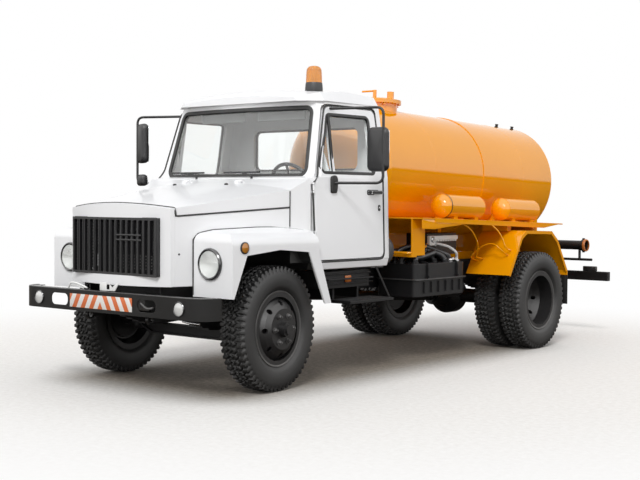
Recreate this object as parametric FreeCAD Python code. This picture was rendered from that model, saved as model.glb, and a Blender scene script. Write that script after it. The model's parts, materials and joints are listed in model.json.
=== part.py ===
import FreeCAD, Part
import math
import os

# A four-wheeled tanker truck with a bonnet, in millimetres.
# While it is built, the middle of the front axle stands over the origin:
# +X is the truck's left side, +Y runs rearwards, +Z is up and the ground is z = 0.
# At the end everything moves along Y, so that the origin lies under the middle of the truck.

# Whole truck
wheelbase = 3770.0
front_overhang = 905.0
rear_overhang = 1625.0
front_track = 1630.0
rear_track = 1690.0
twin_spacing = 280.0
overrun = 400.0
seat_gap = 0.3
panel_gap = 7.0
door_gap = 11.0
bonnet_gap = 9.0
running_gap = 6.0
pin_gap = 0.3

# Wheels and tyres
tyre_radius = 482.0
tyre_width = 236.0
tread_width = 184.0
tyre_side_radius = 372.0
tyre_shoulder_radius = 452.0
bead_radius = 254.0
rim_width = 188.0
rim_flange_radius = 288.0
rim_wall = 10.0
disc_face_radius = 150.0
disc_wall = 12.0
hub_radius = 74.0
hub_nose_radius = 60.0
hub_nose_length = 46.0
hub_cap_radius = 42.0
hub_cap_length = 16.0
drum_radius = 204.0
drum_wall = 14.0
drum_length = 112.0
spindle_radius = 32.0
hand_hole_count = 8
hand_hole_radius = 19.0

# Steering
steer_rest_deg = 5.0
kingpin_x = 650.0
kingpin_radius = 18.0
kingpin_boss_radius = 42.0
kingpin_boss_height = 90.0
ear_height = 28.0
yoke_wall = 22.0
backing_plate_wall = 6.0
steering_arm_reach = 190.0
steering_arm_thickness = 26.0
steering_arm_width = 44.0
ball_radius = 17.0
tie_rod_radius = 16.0
tie_rod_eye_radius = 30.0
tie_rod_eye_height = 34.0

# Axles and springs
front_beam_depth = 84.0
front_beam_height = 88.0
front_beam_drop = 84.0
front_beam_web = 26.0
front_beam_rim = 16.0
front_spring_x = 360.0
front_spring_width = 70.0
front_spring_half = 575.0
front_spring_camber = 92.0
front_leaf_count = 6
rear_spring_half = 690.0
rear_spring_camber = 96.0
rear_spring_width = 75.0
rear_leaf_count = 9
leaf_thickness = 11.0
spring_eye_radius = 24.0
spring_clamp_width = 96.0
spring_plate_wall = 18.0
axle_tube_radius = 72.0
rear_spindle_radius = 44.0
banjo_radius = 190.0
banjo_depth = 250.0
differential_nose_length = 330.0
differential_nose_radius = 86.0

# Frame
rail_half_width = 400.0
rail_bottom = 672.0
rail_top = 878.0
rail_flange = 68.0
rail_wall = 9.0
rail_front = -722.0
rail_rear_gap = 96.0
member_width = 74.0
member_height = 150.0
member_wall = 9.0
member_places_shares = [0.02, 0.31, 0.46, 0.60, 0.78, 0.90, 0.992]

# Engine, gearbox, shaft, radiator and exhaust
engine_half_width = 240.0
engine_front = -470.0
engine_rear = 150.0
engine_bottom = 592.0
engine_top = 1230.0
gearbox_rear = 900.0
gearbox_radius = 150.0
gearbox_axis_z = 640.0
bell_radius = 190.0
bell_length = 200.0
shaft_radius = 44.0
shaft_flange_radius = 70.0
shaft_flange_length = 26.0
radiator_half_width = 330.0
radiator_front = -700.0
radiator_depth = 90.0
radiator_bottom = 884.0
radiator_top = 1330.0
exhaust_x = -520.0
exhaust_front = 1500.0
muffler_length = 820.0
muffler_radius = 105.0
tailpipe_radius = 30.0
tailpipe_length = 380.0
exhaust_z = 760.0

# Front bumper
bumper_half_width = 1035.0
bumper_depth = 177.0
bumper_corner = 168.0
bumper_bottom = 605.0
bumper_top = 765.0
bumper_wall = 6.0
bumper_lip = 92.0
bumper_slot_width = 195.0
bumper_slot_height = 90.0
bumper_slot_right_x = -540.0
bumper_slot_left_x = 445.0
fog_lamp_x = 786.0
fog_lamp_radius = 54.0
fog_lamp_depth = 18.0
bumper_bracket_width = 60.0
tow_hook_radius = 36.0
tow_hook_bore = 20.0
tow_hook_width = 26.0

# Nose, bonnet and fenders
nose_front = -845.0
nose_corner_y = -768.0
nose_corner_x = 552.0
nose_bottom = 822.0
nose_wall = 34.0
grille_half_width = 468.0
grille_bottom = 893.0
grille_top = 1324.0
grille_depth = 26.0
grille_frame = 18.0
slat_count = 15
slat_width = 26.0
bonnet_front_edge_z = 1340.0
bonnet_front_crease_z = 1392.0
bonnet_front_crown_z = 1440.0
bonnet_rear_y = 222.0
bonnet_rear_half = 842.0
bonnet_rear_edge_z = 1408.0
bonnet_rear_crease_z = 1539.0
bonnet_rear_crown_z = 1604.0
bonnet_wall = 18.0
bonnet_slant = 16.0
bonnet_hinge_x = 300.0
bonnet_hinge_y = 225.5
bonnet_hinge_z = 1613.0
bonnet_hinge_half = 22.0
bonnet_hinge_radius = 9.0
bonnet_pin_radius = 4.0
bonnet_lug_wall = 8.0
flank_wall = 14.0
fender_front = -590.0
fender_rear = 388.0
fender_outer = 1004.0
fender_wall = 12.0
fender_top_front_z = 1206.0
fender_top_z = 1252.0
fender_edge_z = 1160.0
fender_front_bottom_y = -569.0
fender_front_bottom_z = 747.0
arch_front_y = -434.0
arch_front_z = 1055.0
arch_top_y = -71.0
arch_top_z = 1088.0
arch_rear_y = 268.0
arch_rear_z = 1062.0
arch_foot_y = 468.0
fender_foot_y = 543.0
fender_foot_z = 652.0
headlamp_x = 785.0
headlamp_z = 992.0
headlamp_radius = 117.0
headlamp_depth = 34.0
headlamp_lens_radius = 96.0
turn_lamp_y = -466.0
turn_lamp_z = 1113.0
turn_lamp_radius = 40.0
turn_lamp_depth = 22.0

# Cab
sill_bottom = 912.0
sill_half = 930.0
floor_top = 972.0
cab_half = 950.0
belt_z = 1640.0
belt_half = 930.0
gutter_z = 2258.0
gutter_half = 824.0
cab_front = 398.0
cab_rear = 1435.0
screen_base_y = 484.0
screen_top_y = 642.0
screen_bow = 88.0
cab_corner = 50.0
cab_taper_low = 10.0
cab_taper_belt = 25.0
cab_taper_screen = 30.0
cab_taper_gutter = 15.0
fender_round = 74.0
cab_wall = 46.0
cab_mount_front = 560.0
cab_mount_rear = 1330.0
cowl_wall = 22.0
screen_base_half = 784.0
screen_base_z = 1652.0
screen_top_half = 728.0
screen_top_z = 2205.0
screen_corner = 62.0
glass_wall = 6.0
glass_depth = 16.0
glass_edge = 0.4
back_window_half = 600.0
back_window_bottom = 1720.0
back_window_top = 2090.0
roof_brow = 34.0
roof_crown_z = 2400.0
roof_shoulder_z = 2355.0
roof_wall = 36.0
door_front = 430.0
door_belt_front = 512.0
door_belt_z = 1668.0
door_rear = 1322.0
door_bottom = 978.0
door_top = 2226.0
door_corner = 52.0
door_top_front = 673.0
door_wall = 58.0
door_skin = 14.0
door_hinge_x = 942.0
door_hinge_y = 428.0
door_hinge_places = [1180.0, 1560.0]
door_hinge_radius = 9.0
door_pin_radius = 4.0
door_hinge_half = 20.0
door_hinge_strap = 10.0
door_step = 12.0
window_front = 540.0
window_front_top = 686.0
window_rear = 1222.0
window_bottom = 1678.0
window_top = 2150.0
window_corner = 40.0
window_post_y = 700.0
window_post_width = 22.0
handle_y = 1195.0
handle_z = 1528.0
handle_length = 150.0
handle_height = 26.0
handle_reach = 34.0

# Inside the cab
dash_top = 1560.0
dash_bottom = 1250.0
dash_depth = 190.0
seat_bottom = 1130.0
seat_height = 130.0
seat_front = 760.0
seat_depth = 470.0
seat_back_height = 560.0
seat_back_depth = 120.0
driver_seat_x = 480.0
driver_seat_half = 240.0
bench_half = 400.0
bench_x = -400.0
seat_leg = 60.0
steering_wheel_radius = 215.0
steering_rim_radius = 15.0
steering_wheel_y = 690.0
steering_wheel_z = 1560.0
steer_slope_deg = 26.0
column_radius = 28.0

# Mirrors and beacon
mirror_x = 1205.0
mirror_half = 98.0
mirror_y = 885.0
mirror_depth = 46.0
mirror_bottom = 1692.0
mirror_top = 2046.0
mirror_right_lift = 92.0
mirror_tube_radius = 11.0
mirror_right_forward = 285.0
mirror_right_turn_deg = 26.0
mirror_tube_x = 1275.0
mirror_tube_y = 848.0
mirror_arm_top = 2200.0
mirror_arm_top_y = 740.0
mirror_arm_bottom = 1600.0
mirror_arm_y = 668.0
mirror_bend = 60.0
small_mirror_half = 62.0
small_mirror_height = 104.0
beacon_x = 600.0
beacon_y = 800.0
beacon_radius = 74.0
beacon_base_height = 64.0
beacon_height = 206.0

# Wipers
wiper_pivot_left_x = 300.0
wiper_pivot_right_x = -330.0
wiper_radius = 9.0
wiper_blade_length = 400.0

# Steps and side equipment
step_front = 860.0
step_rear = 1460.0
step_inner = 700.0
step_outer = 950.0
step_z = 640.0
step_wall = 24.0
step_strap_y = 1240.0
step_strap_width = 26.0
step_arm_shares = (0.1, 0.65)
step_box_front = 640.0
step_box_rear = 1240.0
step_box_inner = 500.0
step_box_outer = 850.0
step_box_top = 884.0
fuel_front = 1900.0
fuel_rear = 2700.0
fuel_inner = 430.0
fuel_outer = 880.0
fuel_bottom = 605.0
fuel_top = 900.0
fuel_seam_z = 760.0
fuel_seam_lip = 16.0
fuel_corner = 60.0

# Tank
tank_radius = 600.0
tank_tilt_deg = 1.8
tank_front = 1900.0
tank_rear_overhang = 1090.0
tank_front_z = 1758.8
dish_depth = 330.0
band_forward = 285.0
band_width = 44.0
band_height = 7.0
neck_y = 2420.0
neck_radius = 218.0
neck_rise = 62.0
flange_radius = 256.0
flange_height = 22.0
lid_height = 26.0
lid_hinge_gap = 24.0
lid_knuckle_radius = 14.0
lid_pin_radius = 6.0
lid_strap_half = 16.0
lid_lug_wall = 10.0
lever_height = 108.0
lever_length = 150.0
lever_radius = 9.0
valve_x = 150.0
valve_y = 50.0
valve_radius = 33.0
valve_height = 95.0

# Tank bed, shelves and vessels
bed_rail_width = 76.0
bed_rail_front = 1850.0
bed_rail_overhang = 1130.0
saddle_count = 4
saddle_width = 60.0
saddle_half = 470.0
upright_front = 1870.0
upright_rear = 2070.0
upright_outer = 850.0
upright_wall = 12.0
upright_bottom = 974.0
shelf_front = 1800.0
shelf_rear_overhang = 680.0
shelf_inner = 560.0
shelf_outer = 960.0
shelf_front_z = 1316.0
shelf_wall = 12.0
shelf_lip = 40.0
gusset_length = 545.0
gusset_depth = 90.0
gusset_kink_shares = (0.28, 0.78)
vessel_x = 830.0
vessel_radius = 108.0
vessel_start_shares = [0.167, 0.574]
vessel_length_share = 0.275
vessel_foot_width = 60.0
vessel_lift = 10.0

# Pump, pipes and control panel
pump_front = 1480.0
pump_length = 360.0
pump_radius = 130.0
pump_x = 560.0
pump_z = 1020.0
pump_ribs = 7
panel_front = 2320.0
panel_rear = 2820.0
panel_inner = 470.0
panel_outer = 700.0
panel_bottom = 960.0
panel_top = 1160.0

# Rear mudguards and flaps
guard_outer = 1100.0
guard_inner = 620.0
guard_wall = 8.0
guard_points_shares = [(-0.647, 0.756), (-0.409, 1.127), (-0.314, 1.176), (0.190, 1.164),
                       (0.319, 1.072), (0.531, 0.759)]
guard_unit = 1000.0
flap_bottom = 410.0
flap_wall = 8.0
flap_lap = 50.0

# Rear beam, lamps and suction pipe
beam_half = 1050.0
beam_bottom = 590.0
beam_top = 690.0
beam_depth = 60.0
rear_lamp_x = 825.0
rear_lamp_half = 78.0
rear_lamp_height = 56.0
rear_lamp_depth = 60.0
suction_radius = 50.0
suction_bore_radius = 44.0
suction_overhang = 1360.0
suction_z = 985.0
suction_end_x = 880.0
suction_cap_radius = 64.0
suction_cap_length = 34.0
rear_bar_z = 830.0
rear_bar_radius = 14.0
rear_bar_half = 960.0


# Places that follow the rear axle
tank_rear = wheelbase + tank_rear_overhang
band_y = wheelbase - band_forward
bed_rail_rear = wheelbase + bed_rail_overhang
shelf_rear = wheelbase + shelf_rear_overhang
suction_y = wheelbase + suction_overhang


# Shape helpers

def V(x, y, z):
    return FreeCAD.Vector(x, y, z)


AXIS_X = V(1, 0, 0)
AXIS_Y = V(0, 1, 0)
AXIS_Z = V(0, 0, 1)
ORIGIN = V(0, 0, 0)


def block(x_range, y_range, z_range):
    """A box between two limits along each axis."""
    x0, x1 = sorted(x_range)
    y0, y1 = sorted(y_range)
    z0, z1 = sorted(z_range)
    return Part.makeBox(x1 - x0, y1 - y0, z1 - z0, V(x0, y0, z0))


def outline(points, radius=0.0):
    """A closed flat outline through the points, its corners rounded where a radius is given."""
    if radius == 0.0:
        return Part.Face(Part.makePolygon(points + points[:1]))
    edges = []
    ends = []
    count = len(points)
    for index in range(count):
        before = points[index - 1]
        corner = points[index]
        after = points[(index + 1) % count]
        to_before = (before - corner).normalize()
        to_after = (after - corner).normalize()
        half = to_before.getAngle(to_after) / 2
        setback = radius / math.tan(half)
        setback = min(setback, (before - corner).Length * 0.48, (after - corner).Length * 0.48)
        reach = setback * math.tan(half)
        middle = (to_before + to_after).normalize()
        centre = corner + middle * (setback / math.cos(half))
        start = corner + to_before * setback
        end = corner + to_after * setback
        edges.append(Part.Arc(start, centre - middle * reach, end).toShape())
        ends.append((start, end))
    sides = []
    for index in range(count):
        sides.append(edges[index])
        sides.append(Part.LineSegment(ends[index][1], ends[(index + 1) % count][0]).toShape())
    return Part.Face(Part.Wire(sides))


def side_plate(points, x_range, radius=0.0):
    """An outline of (y, z) points, carried along X."""
    x0, x1 = sorted(x_range)
    face = outline([V(x0, y, z) for y, z in points], radius)
    return face.extrude(V(x1 - x0, 0, 0))


def cross_plate(points, y_range, radius=0.0):
    """An outline of (x, z) points, carried along Y."""
    y0, y1 = sorted(y_range)
    face = outline([V(x, y0, z) for x, z in points], radius)
    return face.extrude(V(0, y1 - y0, 0))


def floor_plate(points, z_range, radius=0.0):
    """An outline of (x, y) points, carried along Z."""
    z0, z1 = sorted(z_range)
    face = outline([V(x, y, z0) for x, y in points], radius)
    return face.extrude(V(0, 0, z1 - z0))


def rod(start, end, radius):
    """A round bar from one point to another."""
    return Part.makeCylinder(radius, (end - start).Length, start, end - start)


def bent_bar(points, radius, bend):
    """A round bar through the points, bent round each corner."""
    path = []
    last = points[0]
    for index in range(1, len(points) - 1):
        corner = points[index]
        back = (points[index - 1] - corner).normalize()
        ahead = (points[index + 1] - corner).normalize()
        half = back.getAngle(ahead) / 2
        setback = bend / math.tan(half)
        middle = (back + ahead).normalize()
        start = corner + back * setback
        end = corner + ahead * setback
        path.append(Part.LineSegment(last, start).toShape())
        crest = corner + middle * (setback / math.cos(half) - bend)
        path.append(Part.Arc(start, crest, end).toShape())
        last = end
    path.append(Part.LineSegment(last, points[-1]).toShape())
    ring = Part.Wire(Part.makeCircle(radius, points[0], points[1] - points[0]))
    return Part.Wire(path).makePipeShell([ring], True, False)


def turned(profile, centre, axis):
    """A ring or disc: (along, radius) points turned round an axis through the centre."""
    across = AXIS_Z if abs(axis.z) < 0.5 else AXIS_X
    points = [centre + axis * along + across * radius for along, radius in profile]
    face = Part.Face(Part.makePolygon(points + points[:1]))
    return face.revolve(centre, axis, 360)


def mirrored(shape):
    """The same shape on the other side of the truck."""
    return shape.mirror(ORIGIN, AXIS_X)


def joined(shapes):
    """One solid from shapes that meet."""
    shapes = list(shapes)
    result = shapes[0]
    if len(shapes) > 1:
        result = shapes[0].fuse(shapes[1:]).removeSplitter()
    return result


def apart(shapes):
    """Solids that share a node and don't touch."""
    solids = []
    for shape in shapes:
        solids.extend(shape.Solids)
    return Part.makeCompound(solids)


nodes = {}


def keep(name, shape):
    nodes[name] = shape


# Wheels. In a wheel's own frame +X points outwards and the tyre's middle is x = 0.

disc_offset = twin_spacing / 2 - disc_wall


def tyre():
    """Sidewalls that bulge past the rim, sloping shoulders and a flat tread."""
    half = tyre_width / 2
    bead_half = rim_width / 2 - rim_wall
    inner = bead_radius + seat_gap
    profile = [(-bead_half, inner), (-bead_half, rim_flange_radius), (-half * 0.94, tyre_side_radius * 0.88),
               (-half, tyre_side_radius), (-half * 0.94, tyre_shoulder_radius * 0.95),
               (-tread_width / 2, tyre_radius - rim_wall / 2),
               (-tread_width / 3, tyre_radius),
               (tread_width / 3, tyre_radius), (tread_width / 2, tyre_radius - rim_wall / 2),
               (half * 0.94, tyre_shoulder_radius * 0.95), (half, tyre_side_radius),
               (half * 0.94, tyre_side_radius * 0.88), (bead_half, rim_flange_radius), (bead_half, inner)]
    return turned(profile, ORIGIN, AXIS_X)


def rim():
    """A barrel with flanges, and a dished disc whose flat face bolts to the hub."""
    half = rim_width / 2
    barrel = bead_radius - rim_wall
    lip = rim_wall - seat_gap
    ring = turned([(-half, barrel), (-half, rim_flange_radius), (lip - half, rim_flange_radius),
                   (lip - half, bead_radius), (half - lip, bead_radius),
                   (half - lip, rim_flange_radius), (half, rim_flange_radius), (half, barrel)],
                  ORIGIN, AXIS_X)
    start = disc_offset * 0.30
    slope = disc_offset * 0.78
    dish = turned([(start, barrel + rim_wall / 2), (slope, barrel * 0.80), (disc_offset, disc_face_radius),
                   (disc_offset, hub_radius), (disc_offset + disc_wall, hub_radius),
                   (disc_offset + disc_wall, disc_face_radius + disc_wall / 2),
                   (slope + disc_wall, barrel * 0.80 + disc_wall / 2),
                   (start + disc_wall, barrel + rim_wall / 2)],
                  ORIGIN, AXIS_X)
    hole_radius = (barrel + disc_face_radius) / 2
    holes = []
    for index in range(hand_hole_count):
        angle = 2 * math.pi * index / hand_hole_count
        centre = V(0, math.cos(angle) * hole_radius, math.sin(angle) * hole_radius)
        holes.append(Part.makeCylinder(hand_hole_radius, overrun, centre, AXIS_X))
    return joined([ring, dish]).cut(Part.makeCompound(holes))


def hub(nose_length, bore_radius, drum_start):
    """The hub that the disc bolts to, with its brake drum on the inner side and a cap outside."""
    face = disc_offset
    drum_end = drum_start + drum_length
    out = face + disc_wall + nose_length
    profile = [(drum_start, drum_radius - drum_wall), (drum_start, drum_radius), (drum_end, drum_radius),
               (drum_end, hub_radius), (face, hub_radius), (face + disc_wall, hub_radius),
               (face + disc_wall, hub_nose_radius),
               (out, hub_nose_radius), (out, hub_cap_radius), (out + hub_cap_length, hub_cap_radius),
               (out + hub_cap_length, 0), (out - hub_cap_length, 0), (out - hub_cap_length, bore_radius),
               (drum_start + drum_wall, bore_radius), (drum_start + drum_wall, hub_radius),
               (drum_end - drum_wall, hub_radius), (drum_end - drum_wall, drum_radius - drum_wall)]
    return turned(profile, ORIGIN, AXIS_X)


front_drum_start = -(drum_length * 0.22)


def place_wheel(shape, side_x, axle_y):
    """Turns a wheel piece to its side of the truck and sets it on its axle."""
    placed = shape.copy()
    if side_x < 0:
        placed = mirrored(placed)
    placed.translate(V(side_x, axle_y, tyre_radius))
    return placed


def steered(shape, side):
    """Turns what rides on a kingpin to the angle that the wheels are parked at."""
    turned_shape = shape.copy()
    turned_shape.rotate(V(side * kingpin_x, 0, 0), AXIS_Z, steer_rest_deg)
    return turned_shape


front_x = front_track / 2
rear_x = rear_track / 2
for side, name in ((1, "left"), (-1, "right")):
    front_rim = joined([place_wheel(rim(), side * front_x, 0),
                        place_wheel(hub(hub_nose_length, spindle_radius + pin_gap, front_drum_start),
                                    side * front_x, 0)])
    keep("wheel_front_" + name, steered(front_rim, side))
    keep("tyre_front_" + name, steered(place_wheel(tyre(), side * front_x, 0), side))
    outer = rear_x + twin_spacing / 2
    inner = rear_x - twin_spacing / 2
    outer_rim = mirrored(rim())
    twin = [place_wheel(rim(), side * inner, wheelbase), place_wheel(outer_rim, side * outer, wheelbase)]
    rear_hub = place_wheel(hub(hub_nose_length, rear_spindle_radius + pin_gap, front_drum_start),
                           side * inner, wheelbase)
    keep("wheel_rear_" + name, joined(twin + [rear_hub]))
    keep("tyres_rear_" + name, apart([place_wheel(tyre(), side * inner, wheelbase),
                                      place_wheel(tyre(), side * outer, wheelbase)]))


# Front axle, knuckles and tie rod

axle_z = tyre_radius
beam_low_z = axle_z - front_beam_drop


def front_axle_beam():
    """An I-section beam, dropped between the springs, with an upright boss at each end."""
    half_height = front_beam_height / 2
    arm = kingpin_x - kingpin_boss_radius / 2
    pad = front_spring_x + front_spring_width / 2 + front_beam_rim
    top = [(-arm, axle_z + half_height), (-pad, beam_low_z + half_height),
           (pad, beam_low_z + half_height), (arm, axle_z + half_height)]
    neck_x = kingpin_x - kingpin_boss_radius - running_gap
    low = [(arm, axle_z - half_height), (neck_x, axle_z - half_height),
           (pad + half_height, beam_low_z - half_height), (-pad - half_height, beam_low_z - half_height),
           (-neck_x, axle_z - half_height), (-arm, axle_z - half_height)]
    beam = cross_plate(top + low, (-front_beam_depth / 2, front_beam_depth / 2))
    rim_in = half_height - front_beam_rim
    pocket_top = [(-arm + front_beam_rim, axle_z + rim_in), (-pad, beam_low_z + rim_in),
                  (pad, beam_low_z + rim_in), (arm - front_beam_rim, axle_z + rim_in)]
    pocket_low = [(arm - front_beam_rim, axle_z - rim_in), (pad + rim_in, beam_low_z - rim_in),
                  (-pad - rim_in, beam_low_z - rim_in), (-arm + front_beam_rim, axle_z - rim_in)]
    for direction in (-1, 1):
        near = direction * front_beam_web / 2
        far = direction * overrun
        beam = beam.cut(cross_plate(pocket_top + pocket_low, (near, far)))
    bosses = []
    bores = []
    for side in (-1, 1):
        low_z = axle_z - kingpin_boss_height / 2
        foot = V(side * kingpin_x, 0, low_z)
        bosses.append(Part.makeCylinder(kingpin_boss_radius, kingpin_boss_height, foot))
        bores.append(rod(V(side * kingpin_x, 0, 0), V(side * kingpin_x, 0, overrun * 2),
                         kingpin_radius + pin_gap))
    return joined([beam] + bosses).cut(Part.makeCompound(bores))


ear_low = axle_z - kingpin_boss_height / 2 - running_gap
ear_high = axle_z + kingpin_boss_height / 2 + running_gap
yoke_x = kingpin_x + kingpin_boss_radius + running_gap
plate_x = front_x + front_drum_start - running_gap - backing_plate_wall
arm_z = ear_low - ear_height - steering_arm_thickness / 2
arm_ball_x = kingpin_x


def knuckle():
    """The left knuckle: two ears on a kingpin, a yoke, the spindle, backing plate and steering arm."""
    ears = []
    for low, high in ((ear_low - ear_height, ear_low), (ear_high, ear_high + ear_height)):
        ears.append(Part.makeCylinder(kingpin_boss_radius, high - low, V(kingpin_x, 0, low)))
        ears.append(block((kingpin_x, yoke_x + yoke_wall), (-kingpin_boss_radius, kingpin_boss_radius),
                          (low, high)))
    yoke = block((yoke_x, yoke_x + yoke_wall), (-kingpin_boss_radius, kingpin_boss_radius),
                 (ear_low - ear_height, ear_high + ear_height))
    pin = rod(V(kingpin_x, 0, ear_low - ear_height), V(kingpin_x, 0, ear_high + ear_height), kingpin_radius)
    spindle_end = front_x + disc_offset + disc_wall + hub_nose_length - hub_cap_length - running_gap
    spindle = rod(V(yoke_x, 0, axle_z), V(spindle_end, 0, axle_z), spindle_radius)
    plate = rod(V(plate_x, 0, axle_z), V(plate_x + backing_plate_wall, 0, axle_z),
                drum_radius - drum_wall - running_gap)
    carrier = rod(V(yoke_x, 0, axle_z), V(plate_x + backing_plate_wall, 0, axle_z), hub_radius)
    arm = floor_plate([(kingpin_x - kingpin_boss_radius, 0), (kingpin_x + kingpin_boss_radius, 0),
                       (arm_ball_x + steering_arm_width / 2, steering_arm_reach),
                       (arm_ball_x - steering_arm_width / 2, steering_arm_reach)],
                      (arm_z - steering_arm_thickness / 2, arm_z + steering_arm_thickness / 2))
    arm_end = Part.makeCylinder(steering_arm_width / 2, steering_arm_thickness,
                                V(arm_ball_x, steering_arm_reach, arm_z - steering_arm_thickness / 2))
    ball_low = arm_z - steering_arm_thickness / 2 - running_gap - tie_rod_eye_height
    ball = rod(V(arm_ball_x, steering_arm_reach, ball_low), V(arm_ball_x, steering_arm_reach, arm_z),
               ball_radius)
    return joined(ears + [yoke, pin, spindle, plate, carrier, arm, arm_end, ball])


def steered_point(side, x, y):
    """Where a point of a steered piece stands at the parked angle."""
    angle = math.radians(steer_rest_deg)
    dx = side * x - side * kingpin_x
    return (side * kingpin_x + dx * math.cos(angle) - y * math.sin(angle),
            dx * math.sin(angle) + y * math.cos(angle))


def tie_rod():
    """A tube between the two steering arms, with an eye round each ball pin."""
    eye_top = arm_z - steering_arm_thickness / 2 - running_gap
    eye_low = eye_top - tie_rod_eye_height
    middle_z = (eye_top + eye_low) / 2
    ends = [steered_point(side, arm_ball_x, steering_arm_reach) for side in (1, -1)]
    pieces = []
    bores = []
    for x, y in ends:
        pieces.append(Part.makeCylinder(tie_rod_eye_radius, tie_rod_eye_height, V(x, y, eye_low)))
        bores.append(Part.makeCylinder(ball_radius, overrun, V(x, y, eye_low - overrun / 2)))
    (x0, y0), (x1, y1) = ends
    pieces.append(rod(V(x0, y0, middle_z), V(x1, y1, middle_z), tie_rod_radius))
    body = joined(pieces)
    left_bore = Part.makeCylinder(ball_radius + pin_gap, overrun, V(x0, y0, eye_low - overrun / 2))
    right_bore = Part.makeCylinder(ball_radius + running_gap / 2, overrun, V(x1, y1, eye_low - overrun / 2))
    return body.cut(left_bore).cut(right_bore)


keep("front_axle_beam", front_axle_beam())
keep("knuckle_left", steered(knuckle(), 1))
keep("knuckle_right", steered(mirrored(knuckle()), -1))
keep("tie_rod", tie_rod())


# Springs

def leaf(half_length, radius, level, camber_centre_z, x_range, y_middle):
    """One leaf: a flat strip bent to an arc that rises at both ends."""
    inner = radius - level * leaf_thickness
    outer = inner - leaf_thickness
    angle = half_length / radius
    centre = V(x_range[0], y_middle, camber_centre_z)

    def arc(r, sign):
        points = []
        for share in (-1, 0, 1):
            a = angle * share * sign
            points.append(centre + V(0, r * math.sin(a), -r * math.cos(a)))
        return Part.Arc(*points).toShape()

    low = arc(inner, 1)
    high = arc(outer, -1)
    ends = [Part.LineSegment(low.Vertexes[1].Point, high.Vertexes[0].Point).toShape(),
            Part.LineSegment(high.Vertexes[1].Point, low.Vertexes[0].Point).toShape()]
    face = Part.Face(Part.Wire([low, ends[0], high, ends[1]]))
    return face.extrude(V(x_range[1] - x_range[0], 0, 0))


def spring(x_middle, width, y_middle, half, camber, count, pad_z):
    """A pack of leaves on a pad, the longest on top with an eye at each end."""
    radius = (half * half + camber * camber) / (2 * camber)
    x_range = (x_middle - width / 2, x_middle + width / 2)
    pack = count * leaf_thickness
    centre_z = pad_z + radius
    leaves = []
    for level in range(count):
        share = 1 - 0.75 * (count - 1 - level) / count
        leaves.append(leaf(half * share, radius, level, centre_z, x_range, y_middle))
    top_radius = radius - pack
    eyes = []
    angle = half / radius
    for sign in (-1, 1):
        y = y_middle + sign * math.sin(angle) * (top_radius + leaf_thickness / 2)
        z = centre_z - math.cos(angle) * (top_radius + leaf_thickness / 2)
        eyes.append(rod(V(x_range[0], y, z + spring_eye_radius / 2), V(x_range[1], y, z + spring_eye_radius / 2),
                        spring_eye_radius))
    clamp = block(x_range, (y_middle - spring_clamp_width / 2, y_middle + spring_clamp_width / 2),
                  (pad_z, pad_z + pack + spring_plate_wall))
    eye_z = eyes[0].CenterOfMass.z
    eye_y = abs(eyes[0].CenterOfMass.y - y_middle)
    return joined(leaves + eyes + [clamp]), eye_y, eye_z


front_pad_z = beam_low_z + front_beam_height / 2 + seat_gap
front_spring, front_eye_y, front_eye_z = spring(front_spring_x, front_spring_width, 0, front_spring_half,
                                                front_spring_camber, front_leaf_count, front_pad_z)
rear_pad_z = axle_z + axle_tube_radius + spring_plate_wall
rear_spring_x = rail_half_width + rear_spring_width / 2 + running_gap * 2
rear_spring, rear_eye_y, rear_eye_z = spring(rear_spring_x, rear_spring_width, wheelbase, rear_spring_half,
                                             rear_spring_camber, rear_leaf_count, rear_pad_z)


def hanger(x_range, y, z, top):
    """A bracket from the frame down to a spring's eye, with a pin through it."""
    half = spring_eye_radius * 1.3
    return side_plate([(y - half, z - half), (y + half, z - half), (y + half * 1.6, top), (y - half * 1.6, top)],
                      x_range)


hanger_wall = rail_wall * 1.4
hangers = []
for sign in (-1, 1):
    for edge in (-1, 1):
        inner_x = front_spring_x + edge * (front_spring_width / 2 + seat_gap)
        hangers.append(hanger((inner_x, inner_x + edge * hanger_wall), sign * front_eye_y, front_eye_z,
                              rail_bottom - seat_gap))
rear_hangers = []
for sign in (-1, 1):
    inner_x = rear_spring_x - rear_spring_width / 2 - seat_gap
    y = wheelbase + sign * rear_eye_y
    rear_hangers.append(hanger((rail_half_width, inner_x), y, rear_eye_z, rail_bottom + member_height / 2))
spring_shapes = [front_spring] + hangers
spring_shapes.append(joined([rear_spring] + rear_hangers))
keep("springs", apart(spring_shapes + [mirrored(shape) for shape in spring_shapes]))


# Rear axle

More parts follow.
